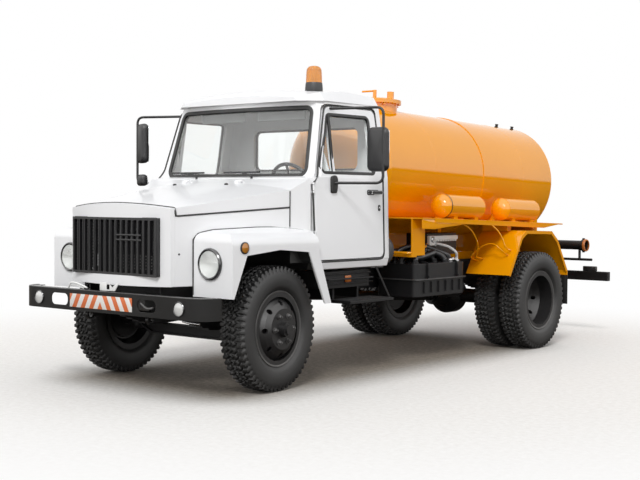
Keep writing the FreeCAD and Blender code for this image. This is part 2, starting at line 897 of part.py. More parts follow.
def rear_axle():
    """A banjo housing with a cover behind, a nose ahead, two tubes, spring seats and spindles."""
    centre = V(0, wheelbase, axle_z)
    nose_start = centre - AXIS_Y * (banjo_depth / 2)
    shell = turned([(-banjo_depth / 2, 0), (-banjo_depth / 2, banjo_radius * 0.62),
                    (-banjo_depth / 4, banjo_radius), (banjo_depth / 4, banjo_radius),
                    (banjo_depth / 2, banjo_radius * 0.55), (banjo_depth / 2, 0)], centre, AXIS_Y)
    nose = Part.makeCone(banjo_radius * 0.62, differential_nose_radius, differential_nose_length - banjo_depth / 2,
                         nose_start, V(0, -1, 0))
    tube_end = rear_x - twin_spacing / 2 + front_drum_start - running_gap
    tube = rod(V(-tube_end, wheelbase, axle_z), V(tube_end, wheelbase, axle_z), axle_tube_radius)
    spindle_end = rear_x - twin_spacing / 2 + disc_offset + disc_wall + hub_nose_length - hub_cap_length
    spindle_end -= running_gap
    spindle = rod(V(-spindle_end, wheelbase, axle_z), V(spindle_end, wheelbase, axle_z), rear_spindle_radius)
    pieces = [shell, nose, tube, spindle]
    for side in (-1, 1):
        seat_x = side * rear_spring_x
        pieces.append(block((seat_x - rear_spring_width / 2, seat_x + rear_spring_width / 2),
                            (wheelbase - spring_clamp_width / 2, wheelbase + spring_clamp_width / 2),
                            (axle_z, rear_pad_z - seat_gap)))
        flange_x = side * (tube_end - backing_plate_wall)
        pieces.append(rod(V(flange_x, wheelbase, axle_z), V(side * tube_end, wheelbase, axle_z),
                          drum_radius - drum_wall))
    return joined(pieces)


keep("rear_axle", rear_axle())


# Frame

frame_rear = wheelbase + rear_overhang
rail_rear = frame_rear - rail_rear_gap


def rail():
    """A pressed channel, open towards the middle."""
    tip = rail_half_width - rail_flange
    web = rail_half_width - rail_wall
    return cross_plate([(rail_half_width, rail_bottom), (rail_half_width, rail_top), (tip, rail_top),
                        (tip, rail_top - rail_wall), (web, rail_top - rail_wall),
                        (web, rail_bottom + rail_wall), (tip, rail_bottom + rail_wall),
                        (tip, rail_bottom)], (rail_front, rail_rear))


def cross_member(y):
    """A channel between the webs of the rails, open towards the rear."""
    middle = (rail_bottom + rail_top) / 2
    low = middle - member_height / 2
    high = middle + member_height / 2
    section = side_plate([(y, low), (y + member_width, low), (y + member_width, low + member_wall),
                          (y + member_wall, low + member_wall), (y + member_wall, high - member_wall),
                          (y + member_width, high - member_wall), (y + member_width, high), (y, high)],
                         (-rail_half_width + rail_wall, rail_half_width - rail_wall))
    return section


bar_hole = rod(V(0, suction_y, rear_bar_z), V(rail_half_width + overrun, suction_y, rear_bar_z),
               rear_bar_radius + pin_gap)
left_rail = rail().cut(bar_hole)
keep("frame_rails", apart([left_rail, mirrored(left_rail)]))
rail_length = rail_rear - rail_front
member_ys = [rail_front + share * rail_length for share in member_places_shares]
member_ys[-1] = rail_rear - member_width
keep("cross_members", apart([cross_member(y) for y in member_ys]))


# Engine, gearbox, shaft, radiator and exhaust

def engine():
    """The engine's block with its bell housing and gearbox behind, and a foot to each rail."""
    core = block((-engine_half_width, engine_half_width), (engine_front, engine_rear), (engine_bottom, engine_top))
    centre = V(0, engine_rear, gearbox_axis_z)
    box_length = gearbox_rear - engine_rear
    gearbox = turned([(0, 0), (0, bell_radius), (bell_length, gearbox_radius),
                      (box_length, gearbox_radius * 0.8), (box_length, 0)], centre, AXIS_Y)
    foot_z = (rail_bottom + rail_top) / 2
    reach = rail_half_width - rail_wall - seat_gap
    feet = block((-reach, reach), (-member_width, member_width),
                 (foot_z - member_wall * 2, foot_z + member_wall * 2))
    tail_low = gearbox_axis_z + shaft_flange_radius + running_gap * 2
    tail_rest = block((-member_width, member_width), (gearbox_rear - member_width, member_ys[1] - seat_gap),
                      (tail_low, tail_low + member_wall * 4))
    return joined([core, gearbox, feet, tail_rest])


keep("engine", engine())


def drive_shaft():
    """A tube between the gearbox and the axle's nose, with a round flange at each end."""
    start = V(0, gearbox_rear, gearbox_axis_z)
    end = V(0, wheelbase - differential_nose_length, axle_z)
    along = (end - start).normalize()
    front_flange = rod(start, start + along * shaft_flange_length, shaft_flange_radius)
    rear_flange = rod(end - along * shaft_flange_length, end, shaft_flange_radius)
    tube = rod(start, end, shaft_radius)
    limit = block((-overrun, overrun), (gearbox_rear + seat_gap, wheelbase - differential_nose_length - seat_gap),
                  (0, rail_top))
    return joined([front_flange, rear_flange, tube]).common(limit)


keep("drive_shaft", drive_shaft())


def radiator():
    """A core between side tanks, standing on two feet behind the grille."""
    core = block((-radiator_half_width, radiator_half_width), (radiator_front, radiator_front + radiator_depth),
                 (radiator_bottom, radiator_top))
    feet = []
    for side in (-1, 1):
        x = side * (rail_half_width - rail_flange)
        feet.append(block((x, x - side * member_width), (radiator_front, radiator_front + radiator_depth),
                          (rail_top + seat_gap, radiator_bottom)))
        feet.append(block((x + side * rail_flange, x), (radiator_front, radiator_front + radiator_depth),
                          (rail_top + seat_gap, radiator_bottom)))
    return joined([core] + feet)


keep("radiator", radiator())


def exhaust():
    """A muffler beside the right rail, with a pipe at each end and two straps to the frame."""
    start = V(exhaust_x, exhaust_front, exhaust_z)
    muffler = rod(start, start + AXIS_Y * muffler_length, muffler_radius)
    tail = rod(start + AXIS_Y * muffler_length, start + AXIS_Y * (muffler_length + tailpipe_length),
               tailpipe_radius)
    lead = rod(start - AXIS_Y * (tailpipe_length / 2), start, tailpipe_radius)
    straps = []
    for share in (0.2, 0.8):
        y = exhaust_front + muffler_length * share
        straps.append(block((exhaust_x, -rail_half_width - seat_gap), (y, y + member_width / 2),
                            (exhaust_z + muffler_radius * 0.6, exhaust_z + muffler_radius)))
    return joined([muffler, tail, lead] + straps)


keep("exhaust", exhaust())


# Front bumper

def bumper_plan(inset, z_range, depth):
    """The bumper seen from above: straight ahead, its corners rounded back to the sides."""
    half = bumper_half_width - inset
    front = -front_overhang + inset
    back = -front_overhang + depth
    corner = bumper_corner - inset
    plan = floor_plate([(-half, back), (-half, front), (half, front), (half, back)], z_range)
    upright_edges = [edge for edge in plan.Edges
                     if edge.BoundBox.ZLength > (z_range[1] - z_range[0]) * 0.9
                     and edge.BoundBox.YMax < front + corner]
    return plan.makeFillet(corner, upright_edges)


def slot_plug(x, z, width, height, y_range):
    """An upright slot with round ends, to cut through the bumper's face."""
    return cross_plate([(x - width / 2, z - height / 2), (x + width / 2, z - height / 2),
                        (x + width / 2, z + height / 2), (x - width / 2, z + height / 2)],
                       y_range, height * 0.42)


def front_bumper():
    """A pressed channel that wraps round the front corners, with two oval slots."""
    outer = bumper_plan(0, (bumper_bottom, bumper_top), bumper_depth)
    inner = bumper_plan(bumper_wall, (bumper_bottom + bumper_wall, bumper_top - bumper_wall),
                        bumper_depth + overrun)
    back = bumper_plan(bumper_lip, (bumper_bottom - overrun, bumper_top + overrun), bumper_depth + overrun)
    shell = outer.cut(inner).cut(back)
    middle_z = (bumper_bottom + bumper_top) / 2
    face = (-front_overhang - bumper_lip, -front_overhang + bumper_wall * 2)
    for x in (bumper_slot_right_x, bumper_slot_left_x):
        shell = shell.cut(slot_plug(x, middle_z, bumper_slot_width, bumper_slot_height, face))
    brackets = []
    for side in (-1, 1):
        x = side * (rail_half_width - rail_wall / 2)
        arm = block((x - bumper_bracket_width / 2, x + bumper_bracket_width / 2),
                    (-front_overhang + bumper_wall / 2, rail_front - seat_gap),
                    (rail_bottom, bumper_top - bumper_wall))
        brackets.append(arm)
    return joined([shell] + brackets)


def fog_lamps():
    lamps = []
    z = (bumper_bottom + bumper_top) / 2
    for side in (-1, 1):
        centre = V(side * fog_lamp_x, -front_overhang - seat_gap, z)
        back = 0
        front = fog_lamp_depth * 0.4
        crown = fog_lamp_depth
        lamps.append(turned([(back, 0), (back, fog_lamp_radius), (front, fog_lamp_radius),
                             (crown, fog_lamp_radius * 0.55), (crown, 0)], centre, V(0, -1, 0)))
    return lamps


def tow_hooks():
    """An eye on each rail's front end, behind the bumper's lower edge."""
    hooks = []
    for side in (-1, 1):
        x = side * (rail_half_width - bumper_bracket_width)
        z = bumper_bottom - tow_hook_radius
        y = -front_overhang + bumper_lip + tow_hook_radius + running_gap
        eye = rod(V(x - tow_hook_width / 2, y, z), V(x + tow_hook_width / 2, y, z), tow_hook_radius)
        stem = block((x - tow_hook_width / 2, x + tow_hook_width / 2), (y, rail_front + bumper_bracket_width),
                     (z - tow_hook_bore, rail_bottom - seat_gap))
        bore = rod(V(x - overrun, y, z), V(x + overrun, y, z), tow_hook_bore)
        hooks.append(joined([eye, stem]).cut(bore))
    return hooks


keep("front_bumper", apart([front_bumper()] + tow_hooks()))


# Nose and bonnet

def bonnet_section(y, half, edge_z, crease_z, crown_z, inset):
    """A slice across the bonnet: upright sides, then a low arch from crease to crease."""
    side = half - inset
    low = V(-side, y, edge_z)
    left = V(-side, y, crease_z - inset)
    top = V(0, y, crown_z - inset)
    right = V(side, y, crease_z - inset)
    end = V(side, y, edge_z)
    return Part.Wire([Part.LineSegment(low, left).toShape(), Part.Arc(left, top, right).toShape(),
                      Part.LineSegment(right, end).toShape(), Part.LineSegment(end, low).toShape()])


def bonnet_body(inset, front, rear, foot=0.0):
    """The bonnet's form between two places, straight-sided in plan and arched across."""
    def at(y):
        share = (y - nose_corner_y) / (bonnet_rear_y - nose_corner_y)
        def mix(a, b):
            return a + (b - a) * share
        return bonnet_section(y, mix(nose_corner_x, bonnet_rear_half),
                              mix(bonnet_front_edge_z, bonnet_rear_edge_z) - foot,
                              mix(bonnet_front_crease_z, bonnet_rear_crease_z),
                              mix(bonnet_front_crown_z, bonnet_rear_crown_z), inset)
    return Part.makeLoft([at(front), at(rear)], True, True)


def nose_plan(offset, z_range, back):
    """The nose seen from above: bowed forward in the middle."""
    corner = V(nose_corner_x, nose_corner_y + offset, z_range[0])
    bow = Part.Arc(V(-nose_corner_x, nose_corner_y + offset, z_range[0]),
                   V(0, nose_front + offset, z_range[0]), corner).toShape()
    wide = bonnet_rear_half + overrun
    rear = nose_corner_y + back
    points = [corner, V(wide, nose_corner_y + offset, z_range[0]), V(wide, rear, z_range[0]),
              V(-wide, rear, z_range[0]), V(-wide, nose_corner_y + offset, z_range[0]),
              V(-nose_corner_x, nose_corner_y + offset, z_range[0])]
    edges = [bow]
    for index in range(len(points) - 1):
        edges.append(Part.LineSegment(points[index], points[index + 1]).toShape())
    return Part.Face(Part.Wire(edges)).extrude(V(0, 0, z_range[1] - z_range[0]))


high = bonnet_rear_crown_z + overrun
nose_back = overrun * 6


def nose_panel():
    """The white shell round the grille, bowed in plan, its top edge in line with the bonnet."""
    form = bonnet_body(0, nose_front - nose_wall, nose_corner_y + nose_wall, bonnet_front_edge_z - nose_bottom)
    front = nose_plan(0, (0, high), nose_back)
    behind = nose_plan(nose_wall, (0, high), nose_back)
    panel = form.common(front).cut(behind)
    opening = block((-grille_half_width, grille_half_width), (nose_front - overrun, nose_corner_y + overrun),
                    (grille_bottom, grille_top))
    return panel.cut(opening)


def grille():
    """A frame that fills the nose's opening, with upright slats in front of a dark pan."""
    edge = seat_gap
    half = grille_half_width - edge
    low = grille_bottom + edge
    top = grille_top - edge
    front = nose_front + nose_wall * 0.3
    back = front + grille_depth
    frame = block((-half, half), (front, back), (low, top))
    hollow = block((-half + grille_frame, half - grille_frame), (front - overrun, back + overrun),
                   (low + grille_frame, top - grille_frame))
    frame = frame.cut(hollow)
    pitch = (2 * half - grille_frame) / slat_count
    slats = []
    for index in range(1, slat_count):
        x = -half + grille_frame / 2 + pitch * index
        slats.append(block((x - slat_width / 2, x + slat_width / 2), (front + edge, back - edge),
                           (low + grille_frame / 2, top - grille_frame / 2)))
    pad_back = nose_corner_y + nose_wall
    pads = []
    for side in (-1, 1):
        x = side * (half - grille_frame)
        pads.append(block((x, side * half), (back - edge, pad_back), (low, top)))
    return joined([frame] + slats + pads)


def bonnet():
    """The lid over the engine: one sheet, arched across, with short upright sides."""
    outer = bonnet_body(0, nose_front, bonnet_rear_y)
    inner = bonnet_body(bonnet_wall, nose_front - overrun, bonnet_rear_y + overrun, overrun)
    behind_nose = nose_plan(nose_wall + bonnet_gap, (0, high), nose_back)
    seam = nose_corner_y + nose_wall + bonnet_gap
    low = bonnet_front_edge_z - bonnet_wall
    slant = side_plate([(nose_front - overrun, low), (seam + bonnet_slant, low), (seam, bonnet_front_crease_z),
                        (nose_front - overrun, bonnet_front_crease_z)],
                       (-bonnet_rear_half, bonnet_rear_half))
    sheet = outer.cut(inner).common(behind_nose).cut(slant)
    pieces = [sheet]
    bores = []
    for side in (-1, 1):
        x = side * bonnet_hinge_x
        left = V(x - bonnet_hinge_half, bonnet_hinge_y, bonnet_hinge_z)
        right = V(x + bonnet_hinge_half, bonnet_hinge_y, bonnet_hinge_z)
        pieces.append(rod(left, right, bonnet_hinge_radius))
        pieces.append(block((left.x, right.x), (bonnet_rear_y - bonnet_hinge_radius * 3, bonnet_rear_y),
                            (bonnet_rear_crown_z - bonnet_wall, bonnet_hinge_z - bonnet_pin_radius)))
        bores.append(rod(left - AXIS_X * bonnet_wall, right + AXIS_X * bonnet_wall, bonnet_pin_radius + pin_gap))
    return joined(pieces).cut(Part.makeCompound(bores))


def flank_line(y):
    """Half the width between the flanks at a place along the truck."""
    share = (y - nose_corner_y) / (bonnet_rear_y - nose_corner_y)
    return nose_corner_x + (bonnet_rear_half - nose_corner_x) * share


def flank():
    """The fixed panel under the bonnet's left edge, from the nose back to the cowl."""
    front = nose_corner_y + nose_wall + seat_gap
    rear = bonnet_rear_y - seat_gap
    plan = floor_plate([(flank_line(front), front), (flank_line(rear), rear),
                        (flank_line(rear) - flank_wall, rear), (flank_line(front) - flank_wall, front)],
                       (nose_bottom, high))
    share = (front - nose_corner_y) / (bonnet_rear_y - nose_corner_y)
    rise = bonnet_rear_edge_z - bonnet_front_edge_z
    front_top = bonnet_front_edge_z + rise * share - panel_gap
    rear_top = bonnet_rear_edge_z - panel_gap
    arch_low = arch_top_z + panel_gap
    shape = side_plate([(front, nose_bottom), (fender_front - seat_gap, nose_bottom),
                        (arch_front_y - panel_gap, arch_low), (rear, arch_low), (rear, rear_top),
                        (front, front_top)], (0, fender_outer))
    return plan.common(shape)


keep("nose_panel", nose_panel())
keep("grille", grille())
keep("bonnet", bonnet())
keep("flanks", apart([flank(), mirrored(flank())]))


# Fenders and their lamps

def fender_form(inset, below):
    """A fender's outer form: its side outline and its front outline, each carried through."""
    front = fender_front + inset
    side = [(front, below), (front, fender_top_front_z - inset),
            (arch_front_y, (fender_top_front_z + fender_top_z) / 2 - inset + panel_gap),
            (arch_top_y, fender_top_z - inset), (fender_rear - inset, fender_top_z - inset),
            (fender_rear - inset, arch_rear_z), (fender_foot_y - inset, fender_foot_z),
            (fender_foot_y - inset, below)]
    outer = fender_outer - inset
    shoulder = (fender_outer - nose_corner_x) * 0.42
    front_view = [(0, below), (outer, below), (outer, fender_edge_z - inset),
                  (outer - shoulder * 0.35, fender_edge_z + (fender_top_z - fender_edge_z) * 0.6 - inset),
                  (outer - shoulder, fender_top_z + seat_gap - inset), (0, fender_top_z + seat_gap - inset)]
    depth = (0, fender_outer + overrun)
    across = (fender_front - overrun, fender_foot_y + overrun)
    return side_plate(side, depth, fender_round).common(cross_plate(front_view, across, fender_round))


def fender():
    """The left front fender: a pressed skin, open below and at the wheel."""
    skin = fender_form(0, fender_foot_z - overrun).cut(fender_form(fender_wall, fender_foot_z - 2 * overrun))
    arch = side_plate([(fender_front_bottom_y, fender_front_bottom_z - overrun * 2),
                       (fender_front_bottom_y, fender_front_bottom_z), (arch_front_y, arch_front_z),
                       (arch_top_y, arch_top_z), (arch_rear_y, arch_rear_z), (arch_foot_y, fender_foot_z),
                       (arch_foot_y, fender_front_bottom_z - overrun * 2)],
                      (0, fender_outer + overrun))
    foot = block((0, fender_outer + overrun), (fender_front, arch_top_y), (0, fender_front_bottom_z))
    foot = foot.fuse(block((0, fender_outer + overrun), (arch_top_y, fender_foot_y + overrun), (0, fender_foot_z)))
    front = fender_front - overrun
    rear = fender_foot_y + overrun
    outside = floor_plate([(flank_line(front) + seat_gap, front), (fender_outer + overrun, front),
                           (fender_outer + overrun, rear), (flank_line(rear) + seat_gap, rear)],
                          (0, high))
    return skin.cut(arch).cut(foot).common(outside)


def headlamp(side):
    """A rimmed round lamp with a bulged lens, on the fender's front face."""
    centre = V(side * headlamp_x, fender_front - seat_gap, headlamp_z)
    return turned([(0, 0), (0, headlamp_radius), (headlamp_depth * 0.5, headlamp_radius),
                   (headlamp_depth * 0.7, headlamp_lens_radius), (headlamp_depth, headlamp_lens_radius * 0.6),
                   (headlamp_depth * 1.1, 0)], centre, V(0, -1, 0))


def turn_lamp(side):
    centre = V(side * (fender_outer + seat_gap), turn_lamp_y, turn_lamp_z)
    return turned([(0, 0), (0, turn_lamp_radius), (turn_lamp_depth * 0.5, turn_lamp_radius),
                   (turn_lamp_depth, turn_lamp_radius * 0.6), (turn_lamp_depth, 0)], centre, V(side, 0, 0))




# Cab

def cab_slice(z, half, front, bow, inset, taper):
    """A level slice of the cab: bowed front, sides that close in to the front, cut rear corners."""
    side = half - inset
    narrow = side - taper
    rear = cab_rear - inset
    corner = cab_corner
    start = V(-narrow + corner, front + inset, z)
    end = V(narrow - corner, front + inset, z)
    arc = Part.Arc(start, V(0, front - bow + inset, z), end).toShape()
    points = [end, V(narrow, front + inset + corner, z), V(side, rear - corner, z), V(side - corner, rear, z),
              V(-side + corner, rear, z), V(-side, rear - corner, z), V(-narrow, front + inset + corner, z), start]
    edges = [arc]
    for index in range(len(points) - 1):
        edges.append(Part.LineSegment(points[index], points[index + 1]).toShape())
    return Part.Wire(edges)


def cab_body(inset):
    """The cab below its roof, tapering in above the belt, its front sloping back with the screen."""
    slim = screen_bow / 4
    slices = [cab_slice(sill_bottom, sill_half, cab_front, slim, inset, cab_taper_low),
              cab_slice(floor_top + panel_gap, cab_half, cab_front, slim, inset, cab_taper_low),
              cab_slice(belt_z, belt_half, cab_front, slim, inset, cab_taper_belt),
              cab_slice(screen_base_z, belt_half, screen_base_y, screen_bow / 2, inset, cab_taper_screen),
              cab_slice(gutter_z, gutter_half, screen_top_y, screen_bow, inset, cab_taper_gutter)]
    return Part.makeLoft(slices, True, True)


def screen_plug():
    points = [(-screen_base_half, screen_base_z), (screen_base_half, screen_base_z),
              (screen_top_half, screen_top_z), (-screen_top_half, screen_top_z)]
    return cross_plate(points, (cab_front - overrun, screen_top_y + cab_corner * 2), screen_corner)


def back_window_plug():
    points = [(-back_window_half, back_window_bottom), (back_window_half, back_window_bottom),
              (back_window_half, back_window_top), (-back_window_half, back_window_top)]
    return cross_plate(points, (cab_rear - cab_corner - cab_wall, cab_rear + overrun), screen_corner)


def door_plug(grow, depth):
    """The doorway's outline, carried into the cab's left side to a depth that follows its slant."""
    points = [(door_front - grow, door_bottom - grow), (door_rear + grow, door_bottom - grow),
              (door_rear + grow, door_top + grow), (door_top_front - grow, door_top + grow),
              (door_belt_front - grow, door_belt_z), (door_front - grow, belt_z - door_corner)]
    inside = [(0, 0), (cab_half - depth, 0), (cab_half - depth, floor_top), (belt_half - depth, belt_z),
              (gutter_half - depth, gutter_z), (gutter_half - depth, gutter_z + overrun), (0, gutter_z + overrun)]
    across = (door_front - overrun, door_rear + overrun)
    return side_plate(points, (0, cab_half + overrun), door_corner).cut(cross_plate(inside, across))


def window_plug(grow=0.0):
    points = [(window_front - grow, window_bottom - grow), (window_rear + grow, window_bottom - grow),
              (window_rear + grow, window_top + grow), (window_front_top - grow, window_top + grow)]
    return side_plate(points, (gutter_half / 2, cab_half + overrun), window_corner)


outer_cab = cab_body(0)
inner_cab = cab_body(cab_wall)
shell = outer_cab.cut(inner_cab)
doorway = door_plug(door_gap, door_wall + door_gap)
for opening in (doorway, mirrored(doorway), screen_plug(), back_window_plug()):
    shell = shell.cut(opening)
back_start = door_rear + door_gap - door_corner
wide = cab_half + overrun
cab_back = shell.common(block((-wide, wide), (back_start, cab_rear + overrun), (floor_top, gutter_z)))
floor_zone = block((-wide, wide), (cab_front - overrun, cab_rear + overrun), (sill_bottom - overrun, floor_top))
front_zone = block((-wide, wide), (cab_front - overrun, back_start), (floor_top, gutter_z))
cab_frame = shell.common(front_zone)
keep("cab_back", cab_back)
keep("cab_floor", outer_cab.common(floor_zone))


def door_hinge_point(z):
    """Where the door's hinge line stands at a height; it leans with the cab's side."""
    lean = (cab_half - cab_taper_low - belt_half + cab_taper_belt) / (belt_z - floor_top)
    return V(door_hinge_x - lean * (z - floor_top), door_hinge_y, z)


def hinge_strap(z_range, reach_x, reach_y):
    """A flat strap from the hinge line to a place beside it, a little lower than its knuckle."""
    low = door_hinge_point(z_range[0] + door_pin_radius / 2)
    rise = door_hinge_point(z_range[1] - door_pin_radius / 2) - low
    across = V(-reach_y, reach_x, 0).normalize() * (door_hinge_strap / 2)
    foot = V(low.x + reach_x, low.y + reach_y, low.z)
    points = [low + across, foot + across, foot - across, low - across]
    return outline(points).extrude(rise)


def hinge_leaf():
    """The frame's half of the left door's hinges: two knuckles, straps and a pin at each."""
    pieces = []
    near = door_hinge_half + running_gap
    far = near + door_hinge_strap * 1.5
    for z in door_hinge_places:
        for span in ((z - far, z - near), (z + near, z + far)):
            pieces.append(rod(door_hinge_point(span[0]), door_hinge_point(span[1]), door_hinge_radius))
            pieces.append(hinge_strap(span, -cab_wall, -cab_wall / 2))
        pieces.append(rod(door_hinge_point(z - near), door_hinge_point(z + near), door_pin_radius))
    return pieces


leaf_pieces = hinge_leaf()
keep("cab_frame", joined([cab_frame] + leaf_pieces + [mirrored(piece) for piece in leaf_pieces]))


cowl_front = bonnet_rear_y + panel_gap


def cowl_form(inset, start, end):
    """The cowl's outer form, from the bonnet's section back to the cab's."""
    cab_front_half = belt_half - cab_taper_belt
    slices = [bonnet_section(start, bonnet_rear_half, floor_top, bonnet_rear_crease_z, bonnet_rear_crown_z, inset),
              bonnet_section(end, cab_front_half, floor_top, belt_z - panel_gap, belt_z - seat_gap, inset)]
    return Part.makeLoft(slices, True, True)


def cowl():
    """The box between bonnet and windscreen, with a sloping top and the bonnet's hinge lugs on it."""
    inner = cowl_form(cowl_wall, cowl_front, cab_front)
    inner = inner.common(block((-wide, wide), (cowl_front + cowl_wall, cab_front), (0, high)))
    pieces = [cowl_form(0, cowl_front, cab_front).cut(inner).cut(cab_body(-seat_gap))]
    for side in (-1, 1):
        x = side * bonnet_hinge_x
        near = bonnet_hinge_half + running_gap
        far = near + bonnet_lug_wall
        for edge in (-1, 1):
            pieces.append(rod(V(x + edge * near, bonnet_hinge_y, bonnet_hinge_z),
                              V(x + edge * far, bonnet_hinge_y, bonnet_hinge_z), bonnet_hinge_radius))
            pieces.append(block((x + edge * near, x + edge * far),
                                (cowl_front + seat_gap, cowl_front + bonnet_hinge_radius * 2),
                                (bonnet_rear_crease_z, bonnet_hinge_z)))
        pieces.append(rod(V(x - near, bonnet_hinge_y, bonnet_hinge_z), V(x + near, bonnet_hinge_y, bonnet_hinge_z),
                          bonnet_pin_radius))
    return joined(pieces)


keep("cowl", cowl())
around = cab_body(-seat_gap).fuse(cowl_form(-seat_gap, cowl_front, cab_front))
left_fender = fender().cut(around)
keep("fender_left", left_fender)
keep("fender_right", mirrored(left_fender))


def roof():
    """A pressed roof, lofted from the brow over the crown to the rear."""
    def slice_at(y, half, edge, shoulder, crown):
        corner = half * 0.94
        left = V(-half, y, edge)
        right = V(half, y, edge)
        right_top = V(corner, y, shoulder)
        left_top = V(-corner, y, shoulder)
        return Part.Wire([Part.LineSegment(left, right).toShape(), Part.LineSegment(right, right_top).toShape(),
                          Part.Arc(right_top, V(0, y, crown), left_top).toShape(),
                          Part.LineSegment(left_top, left).toShape()])

    base = gutter_z + seat_gap
    brow = screen_top_y - screen_bow - roof_brow
    rise = roof_crown_z - gutter_z
    drop = roof_shoulder_z - gutter_z
    mid_y = (brow + cab_rear) / 2
    stations = [(brow, 0.80, 0.30, 0.42), (brow + screen_bow * 1.6, 1.0, 0.72, 0.80),
                (mid_y, 1.0, 1.0, 1.0), (cab_rear - cab_corner, 1.0, 0.80, 0.86), (cab_rear, 0.92, 0.34, 0.40)]

    def form(inset):
        slices = []
        for y, half_share, shoulder_share, crown_share in stations:
            place = min(max(y, brow + inset), cab_rear - inset)
            slices.append(slice_at(place, gutter_half * half_share - inset, base - (overrun if inset else 0),
                                   base + drop * shoulder_share - inset, base + rise * crown_share - inset))
        return Part.makeLoft(slices, True, True)

    return form(0).cut(form(roof_wall))


keep("cab_roof", roof())


glazing = cab_body(glass_depth).cut(cab_body(glass_depth + glass_wall))
keep("cab_glass", apart([glazing.common(screen_plug()), glazing.common(back_window_plug())]))


# Doors

def door():
    """The left door: a panel as thick as the real one, with its window cut."""
    skin = outer_cab.cut(cab_body(door_skin)).common(door_plug(0, door_wall))
    panel = joined([outer_cab.common(door_plug(-door_step, door_wall)), skin])
    knuckles = []
    bores = []
    for z in door_hinge_places:
        span = (z - door_hinge_half, z + door_hinge_half)
        knuckles.append(rod(door_hinge_point(span[0]), door_hinge_point(span[1]), door_hinge_radius))
        knuckles.append(hinge_strap(span, -door_hinge_radius, cab_wall / 2))
        bores.append(rod(door_hinge_point(z - cab_wall), door_hinge_point(z + cab_wall), door_pin_radius + pin_gap))
    panel = joined([panel] + knuckles).cut(Part.makeCompound(bores))
    post = block((gutter_half / 2, wide), (window_post_y - window_post_width / 2,
                 window_post_y + window_post_width / 2), (window_bottom - overrun, window_top + overrun))
    return panel.cut(window_plug().cut(post))


def door_glass():
    post = block((gutter_half / 2, wide), (window_post_y - window_post_width / 2,
                 window_post_y + window_post_width / 2), (window_bottom - overrun, window_top + overrun))
    return apart([glazing.common(window_plug()).cut(post)])


def cab_side_x(z):
    """How far out the cab's side stands at a height above the belt."""
    share = (z - screen_base_z) / (gutter_z - screen_base_z)
    return belt_half + (gutter_half - belt_half) * max(share, 0)


def door_handle():
    x = cab_half - (cab_half - belt_half) * (handle_z - floor_top) / (belt_z - floor_top)
    return block((x - door_wall / 4, x + handle_reach), (handle_y - handle_length / 2, handle_y + handle_length / 2),
                 (handle_z - handle_height / 2, handle_z + handle_height / 2))


def mirror_arm(forward):
    """A bent tube that stands out from the door, top and bottom."""
    start_top = V(cab_side_x(mirror_arm_top) - door_wall / 4, mirror_arm_top_y, mirror_arm_top)
    start_low = V(belt_half - door_wall / 4, mirror_arm_y, mirror_arm_bottom)
    top = V(mirror_tube_x, mirror_tube_y - forward, mirror_arm_top)
    low = V(mirror_tube_x, mirror_tube_y - forward, mirror_arm_bottom)
    return bent_bar([start_top, top, low, start_low], mirror_tube_radius, mirror_bend)


def mirror_head(lift):
    """A mirror's housing, clamped behind the tube."""
    low = mirror_bottom + lift
    top = mirror_top + lift
    front = mirror_tube_y - mirror_tube_radius / 2
    return floor_plate([(mirror_x - mirror_half, mirror_y - mirror_depth / 4),
                        (mirror_x - mirror_half / 2, front), (mirror_x + mirror_half * 0.8, front),
                        (mirror_x + mirror_half, mirror_y - mirror_depth / 4),
                        (mirror_x + mirror_half, mirror_y + mirror_depth / 2),
                        (mirror_x - mirror_half, mirror_y + mirror_depth / 2)], (low, top))


def small_mirror():
    low = mirror_arm_bottom - small_mirror_height * 0.2
    return block((mirror_x - small_mirror_half, mirror_x + mirror_half),
                 (mirror_tube_y - mirror_tube_radius / 2, mirror_y + mirror_depth / 2),
                 (low, low + small_mirror_height))


def right_mirror():
    """The right mirrors in their left-hand form: further forward, and turned in about their tube."""
    heads = joined([mirror_head(mirror_right_lift), small_mirror()])
    heads.rotate(V(mirror_tube_x, mirror_tube_y, 0), AXIS_Z, mirror_right_turn_deg)
    heads.translate(V(0, -mirror_right_forward, 0))
    return joined([mirror_arm(mirror_right_forward), heads])


left_door = joined([door(), door_handle()])
keep("door_left", left_door)
keep("door_right", mirrored(left_door))
keep("door_glass_left", door_glass())
keep("door_glass_right", apart([mirrored(door_glass())]))
keep("mirror_left", joined([mirror_arm(0), mirror_head(0)]).cut(door()))
keep("mirror_right", mirrored(right_mirror()).cut(mirrored(door())))


# Inside the cab

def dashboard():
    """A ledge under the windscreen, with the steering column's housing."""
    front = cab_front + cab_wall + seat_gap
    half = belt_half - cab_taper_belt - cab_wall - cab_corner - panel_gap
    shelf = side_plate([(front, dash_bottom), (front + dash_depth / 2, dash_bottom),
                        (front + dash_depth, dash_top - dash_depth / 2), (front + dash_depth, dash_top),
                        (front, dash_top)], (-half, half))
    return shelf


def tilted(y, z, length, angle_deg):
    angle = math.radians(angle_deg)
    return y + length * math.cos(angle), z + length * math.sin(angle)


def steering_column():
    """A column from the dashboard up to the steering wheel, set on its slant."""
    x = driver_seat_x
    dy, dz = tilted(0, 0, 1, steer_slope_deg)
    top = V(x, steering_wheel_y, steering_wheel_z)
    foot_y = cab_front + cab_wall + seat_gap
    run = (steering_wheel_y - foot_y) / dy
    foot = top - V(0, dy, dz) * run
    return rod(foot, top - V(0, dy, dz) * (steering_rim_radius + seat_gap), column_radius)


